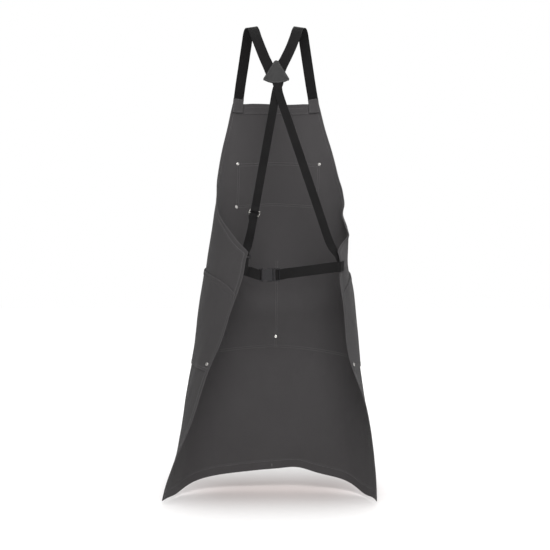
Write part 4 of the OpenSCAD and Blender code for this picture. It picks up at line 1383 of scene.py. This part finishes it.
def build_plug():
    """The plug: a shoulder that fills the mouth, a guide tongue and a two-bar tail."""
    half = BUCKLE_W / 2
    parts = []
    shoulder = rounded_box(RUNNING_GAP, 5, -half + 0.5, half - 0.5, 1.6, 6)
    parts.append(settle(plate("shoulder", shoulder, -4.5, 4.5, 1.2, 4)))
    parts.append(settle(plate("tongue", rounded_box(-16, 1, -3.5, 3.5, 1.6, 6), -1.6, 1.6,
                              0.5)))
    parts += side_rails(3.4, PLUG_L, 1.2, 6, 1.1)
    parts.append(bar_z("middle_bar", PLUG_BAR_X, PLUG_BAR_R, half - 1.4))
    parts.append(bar_z("end_bar", PLUG_END_X, PLUG_BAR_R + 0.1, half - 1.4))
    plug = merge("buckle_plug_body", parts, PLASTIC, "plug")
    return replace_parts(plug, "buckle_plug")


def build_prong(side, name):
    """A springy arm with a rounded catch, seen through the socket's window."""
    spine = [(-0.8, PRONG_Z * side), (-6, (PRONG_Z + 0.35) * side),
             (-12, (PRONG_Z + 0.8) * side), (-17.4, (PRONG_Z + 0.9) * side)]
    width = [1.2, 1.25, 1.45, 1.7]
    upper = [(x, z + w * side) for (x, z), w in zip(spine, width)]
    lower = [(x, z - w * side) for (x, z), w in zip(spine, width)]
    catch = arc(-17.2, (PRONG_Z + 0.9) * side, 1.65, 90 * side, 270 * side, 12)[1:-1].tolist()
    outline = upper + catch + lower[::-1]
    arm = settle(plate("arm", outline, -2.2, 2.2, 0.45, 3))
    prong = merge("prong_" + name + "_arm", [arm], PLASTIC, "prong_" + name)
    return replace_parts(prong, "plug_prong_" + name)


# Rivets and bar tacks ---------------------------------------------------------------------------
def lathe(name, profile, spots, material):
    """The same turned shape at each (point, axis), from (radius, height) points of its profile."""
    verts, faces, sides = [], [], 28
    for point, axis in spots:
        u = square_to(np.array([0.3, 0.1, 1.0]), axis)
        w = np.cross(axis, u)
        first = len(verts)
        for radius, height in profile:
            for a in np.arange(sides) * 2 * np.pi / sides:
                verts.append(point + height * axis + radius * (math.cos(a) * u
                             + math.sin(a) * w))
        for j in range(len(profile) - 1):
            for i in range(sides):
                k = (i + 1) % sides
                faces.append([first + j * sides + i, first + (j + 1) * sides + i,
                              first + (j + 1) * sides + k, first + j * sides + k])
        last = first + (len(profile) - 1) * sides
        faces.append([first + i for i in range(sides)])
        faces.append([last + i for i in range(sides)][::-1])
    return add_mesh(name, np.array(verts), faces, material)


CAP = [(0.3, 1.15), (1.4, 1.1), (1.7, 1.32), (2.2, 1.32), (2.6, 1.08), (3.6, 0.98), (4.2, 0.6),
       (4.5, 0.1), (4.4, -0.25), (3.9, -0.3), (1.2, -0.3), (1.2, -3.4)]
BURR = [(1.3, 0.0), (1.3, 0.75), (1.7, 1.0), (2.4, 1.05), (3.3, 0.85), (3.9, 0.4), (4.1, 0.0)]


def rivet_spots(kind):
    """(s, v) of each rivet of a pocket."""
    if kind == "chest":
        p = CHEST_POCKET
        return [(p["middle"] + i * (p["width"] / 2 - 3), float(v)) for i in (-1, 1)
                for v in (p["drop"] + 4, p["drop"] + p["height"] - 4)]
    p = HIP_POCKET
    return [(-p["half"] + 8.0, p["bottom"] - 17.0), (float(p["divide"]), p["bottom"] - 30.0),
            (p["half"] - 8.0, p["bottom"] - 15.0)]


def build_rivets(kind):
    spots = rivet_spots(kind)
    caps, burrs = [], []
    for s, v in spots:
        low = (chest_heights if kind == "chest" else hip_heights)(s, v)[0]
        axis = panel_normal(s, v)
        caps.append((on_panel(s, v, low + CANVAS_T + 0.3), axis))
        burrs.append((on_panel(s, v, -0.15), -axis))
    cap = lathe(kind + "_rivet_caps", CAP, caps, RIVET)
    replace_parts(cap, kind + "_rivets")
    burr = lathe(kind + "_rivet_rings", BURR, burrs, RIVET)
    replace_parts(burr, kind + "_rivet_burrs")


def build_bartacks():
    """Dense zigzags of thread on both faces that lock the hem at its centre and corners."""
    tacks = Stitching("hem_bartack_threads")
    for s in (-HALF_SKIRT + 8, 0, HALF_SKIRT - 8):
        for way in (1, -1):
            zig = [(s + (-1) ** i * 1.1, BODY_LENGTH - 14 + i * 0.42) for i in range(20)]
            a, v = np.array(zig, float).T
            outer, inner, _ = hem_profile(a, v)
            height = outer + 0.02 if way > 0 else inner - 0.02
            tacks.line(on_panel(a, v, height), way * panel_normal(a, v), pitch=2.2,
                       radius=0.26, fill=1.0)
    piece = tacks.build()
    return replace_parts(piece, "hem_bartacks")


# The object -------------------------------------------------------------------------------------
body_cloth = build_body()
facing = build_facing()
chest = build_chest_pocket()
hips = build_hip_pocket()
hem_stitches = build_seams()
pocket_stitches = build_pocket_seams()
tab_pieces = []
for strap_side, strap_name in ((-1, "left"), (1, "right")):
    build_shoulder_strap(strap_side, strap_name)
    tab_pieces += build_tab(strap_side, strap_name)
build_patch_layer("back_patch_front", NARROW_T + PLY_GAP, True, "back_patch_outer")
build_patch_layer("back_patch_lining", -NARROW_T - PLY_GAP - PATCH_T, False,
                  "back_patch_inner")
return_foot = build_lower_straps()
build_slider()
build_return(return_foot)
build_belt_left()
build_belt_right()
build_socket()
build_plug()
build_prong(1, "upper")
build_prong(-1, "lower")
build_rivets("chest")
build_rivets("hip")
build_bartacks()

# CAD pieces that show as they are
for node, look in (("side_ring", PLASTIC), ("side_ring_tab", WEBBING)):
    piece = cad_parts[node]
    piece.data.materials.clear()
    piece.data.materials.append(look[0])


# Stage, light and camera, in metres -------------------------------------------------------------
FLOOR_GAP = 0.006
FLOOR_HALF = 14
APRON_MIDDLE = (0, 0, -0.6)
SHADOW_HALF_X, SHADOW_HALF_Y, SHADOW_Y = 0.265, 0.21, 0.12
CAMERA_PLACE, CAMERA_LENS = (0, -2.49, -0.614), 65.45


def build_floor():
    mesh = bpy.data.meshes.new("floor")
    corners = [(x * FLOOR_HALF, y * FLOOR_HALF, 0)
               for x, y in ((-1, -1), (1, -1), (1, 1), (-1, 1))]
    mesh.from_pydata(corners, [], [(0, 1, 2, 3)])
    floor = add_object("floor", mesh)
    floor.location.z = CAD_BOX[0][2] - FLOOR_GAP
    m = Surface("floor")
    place = m.place()
    split = m.add("ShaderNodeSeparateXYZ")
    m.link(place, split.inputs[0])
    x, y = split.outputs["X"], split.outputs["Y"]
    wide, deep = m.math("ABSOLUTE", x), m.math("ABSOLUTE", y)
    # A soft contact shadow as broad as the hem, painted on a floor that stays pale far away
    across = m.math("POWER", m.math("DIVIDE", wide, SHADOW_HALF_X), 4.0)
    back = m.math("DIVIDE", m.math("SUBTRACT", y, SHADOW_Y), SHADOW_HALF_Y)
    fade = m.plus(across, m.times(back, back))
    shade = m.math("EXPONENT", m.times(fade, -1.0))
    # The floor glows as painted light. The glow is stronger further out, which keeps the floor
    # white where the lamps fall off, and it fades under the painted shadow.
    glow = m.spread(m.plus(wide, deep), 0.8, 3.0, 0.0, 1.0)
    grain = m.noise(place, 40.0, 3.0)
    pale = m.tones(grain, (0.67, 0.665, 0.664), (0.69, 0.685, 0.684))
    colour = m.mix(m.times(shade, 0.62), pale, (0.40, 0.33, 0.315, 1))
    lit = m.mix(glow, (0.26, 0.26, 0.26, 1), (0.50, 0.50, 0.50, 1))
    # Far out to both sides the floor dims to the grey of the flats, so no hard horizon shows
    aside = m.math("SUBTRACT", wide, m.times(deep, 0.45))
    lit = m.mix(m.spread(aside, 1.0, 4.0, 0.0, 1.0), lit, (0.0, 0.0, 0.0, 1))
    glow_colour = m.mix(shade, lit, (0.02, 0.016, 0.015, 1))
    m.link(glow_colour, m.shader.inputs["Emission Color"])
    mesh.materials.append(m.finish(colour, 0.9, **{
        "Specular IOR Level": 0.0, "Emission Strength": 1.0}))


def add_area(name, place, size, power):
    """A square soft light that looks at the middle of the apron."""
    light = bpy.data.lights.new(name, "AREA")
    light.shape = "SQUARE"
    light.size = size
    light.energy = power
    obj = add_object(name, light)
    obj.location = place
    obj.rotation_euler = (Vector(APRON_MIDDLE) - Vector(place)).to_track_quat("-Z", "Y").to_euler()


def build_light():
    world = bpy.data.worlds.new("studio")
    world.use_nodes = True
    # White before and behind, dimmer at both sides, as between two grey flats
    m = Nodes(world.node_tree)
    sky = m.tree.nodes["Background"]
    m.fix(sky, Color=(1, 1, 1, 1))
    split = m.add("ShaderNodeSeparateXYZ")
    m.link(m.add("ShaderNodeTexCoord").outputs["Generated"], split.inputs[0])
    side = m.math("ABSOLUTE", split.outputs["X"])
    m.link(m.spread(side, 0.32, 0.8, 1.0, 0.45, "SMOOTHSTEP"), sky.inputs["Strength"])
    bpy.context.scene.world = world
    add_area("key", (0.2, -2.5, 1.4), 1.3, 84)
    add_area("fill", (0.4, -3.1, -0.6), 1.6, 42)
    add_area("front", (0.6, 2.6, 1.0), 2.0, 24)


def build_camera():
    """Level, behind the wearer, at the height of the belt."""
    camera = bpy.data.cameras.new("camera")
    camera.sensor_width = 36
    camera.lens = CAMERA_LENS
    camera.clip_end = 60
    obj = add_object("camera", camera)
    obj.location = CAMERA_PLACE
    obj.rotation_euler = (math.radians(90), 0, 0)
    bpy.context.scene.camera = obj


build_floor()
build_light()
build_camera()
bpy.context.scene.view_settings.view_transform = "Standard"
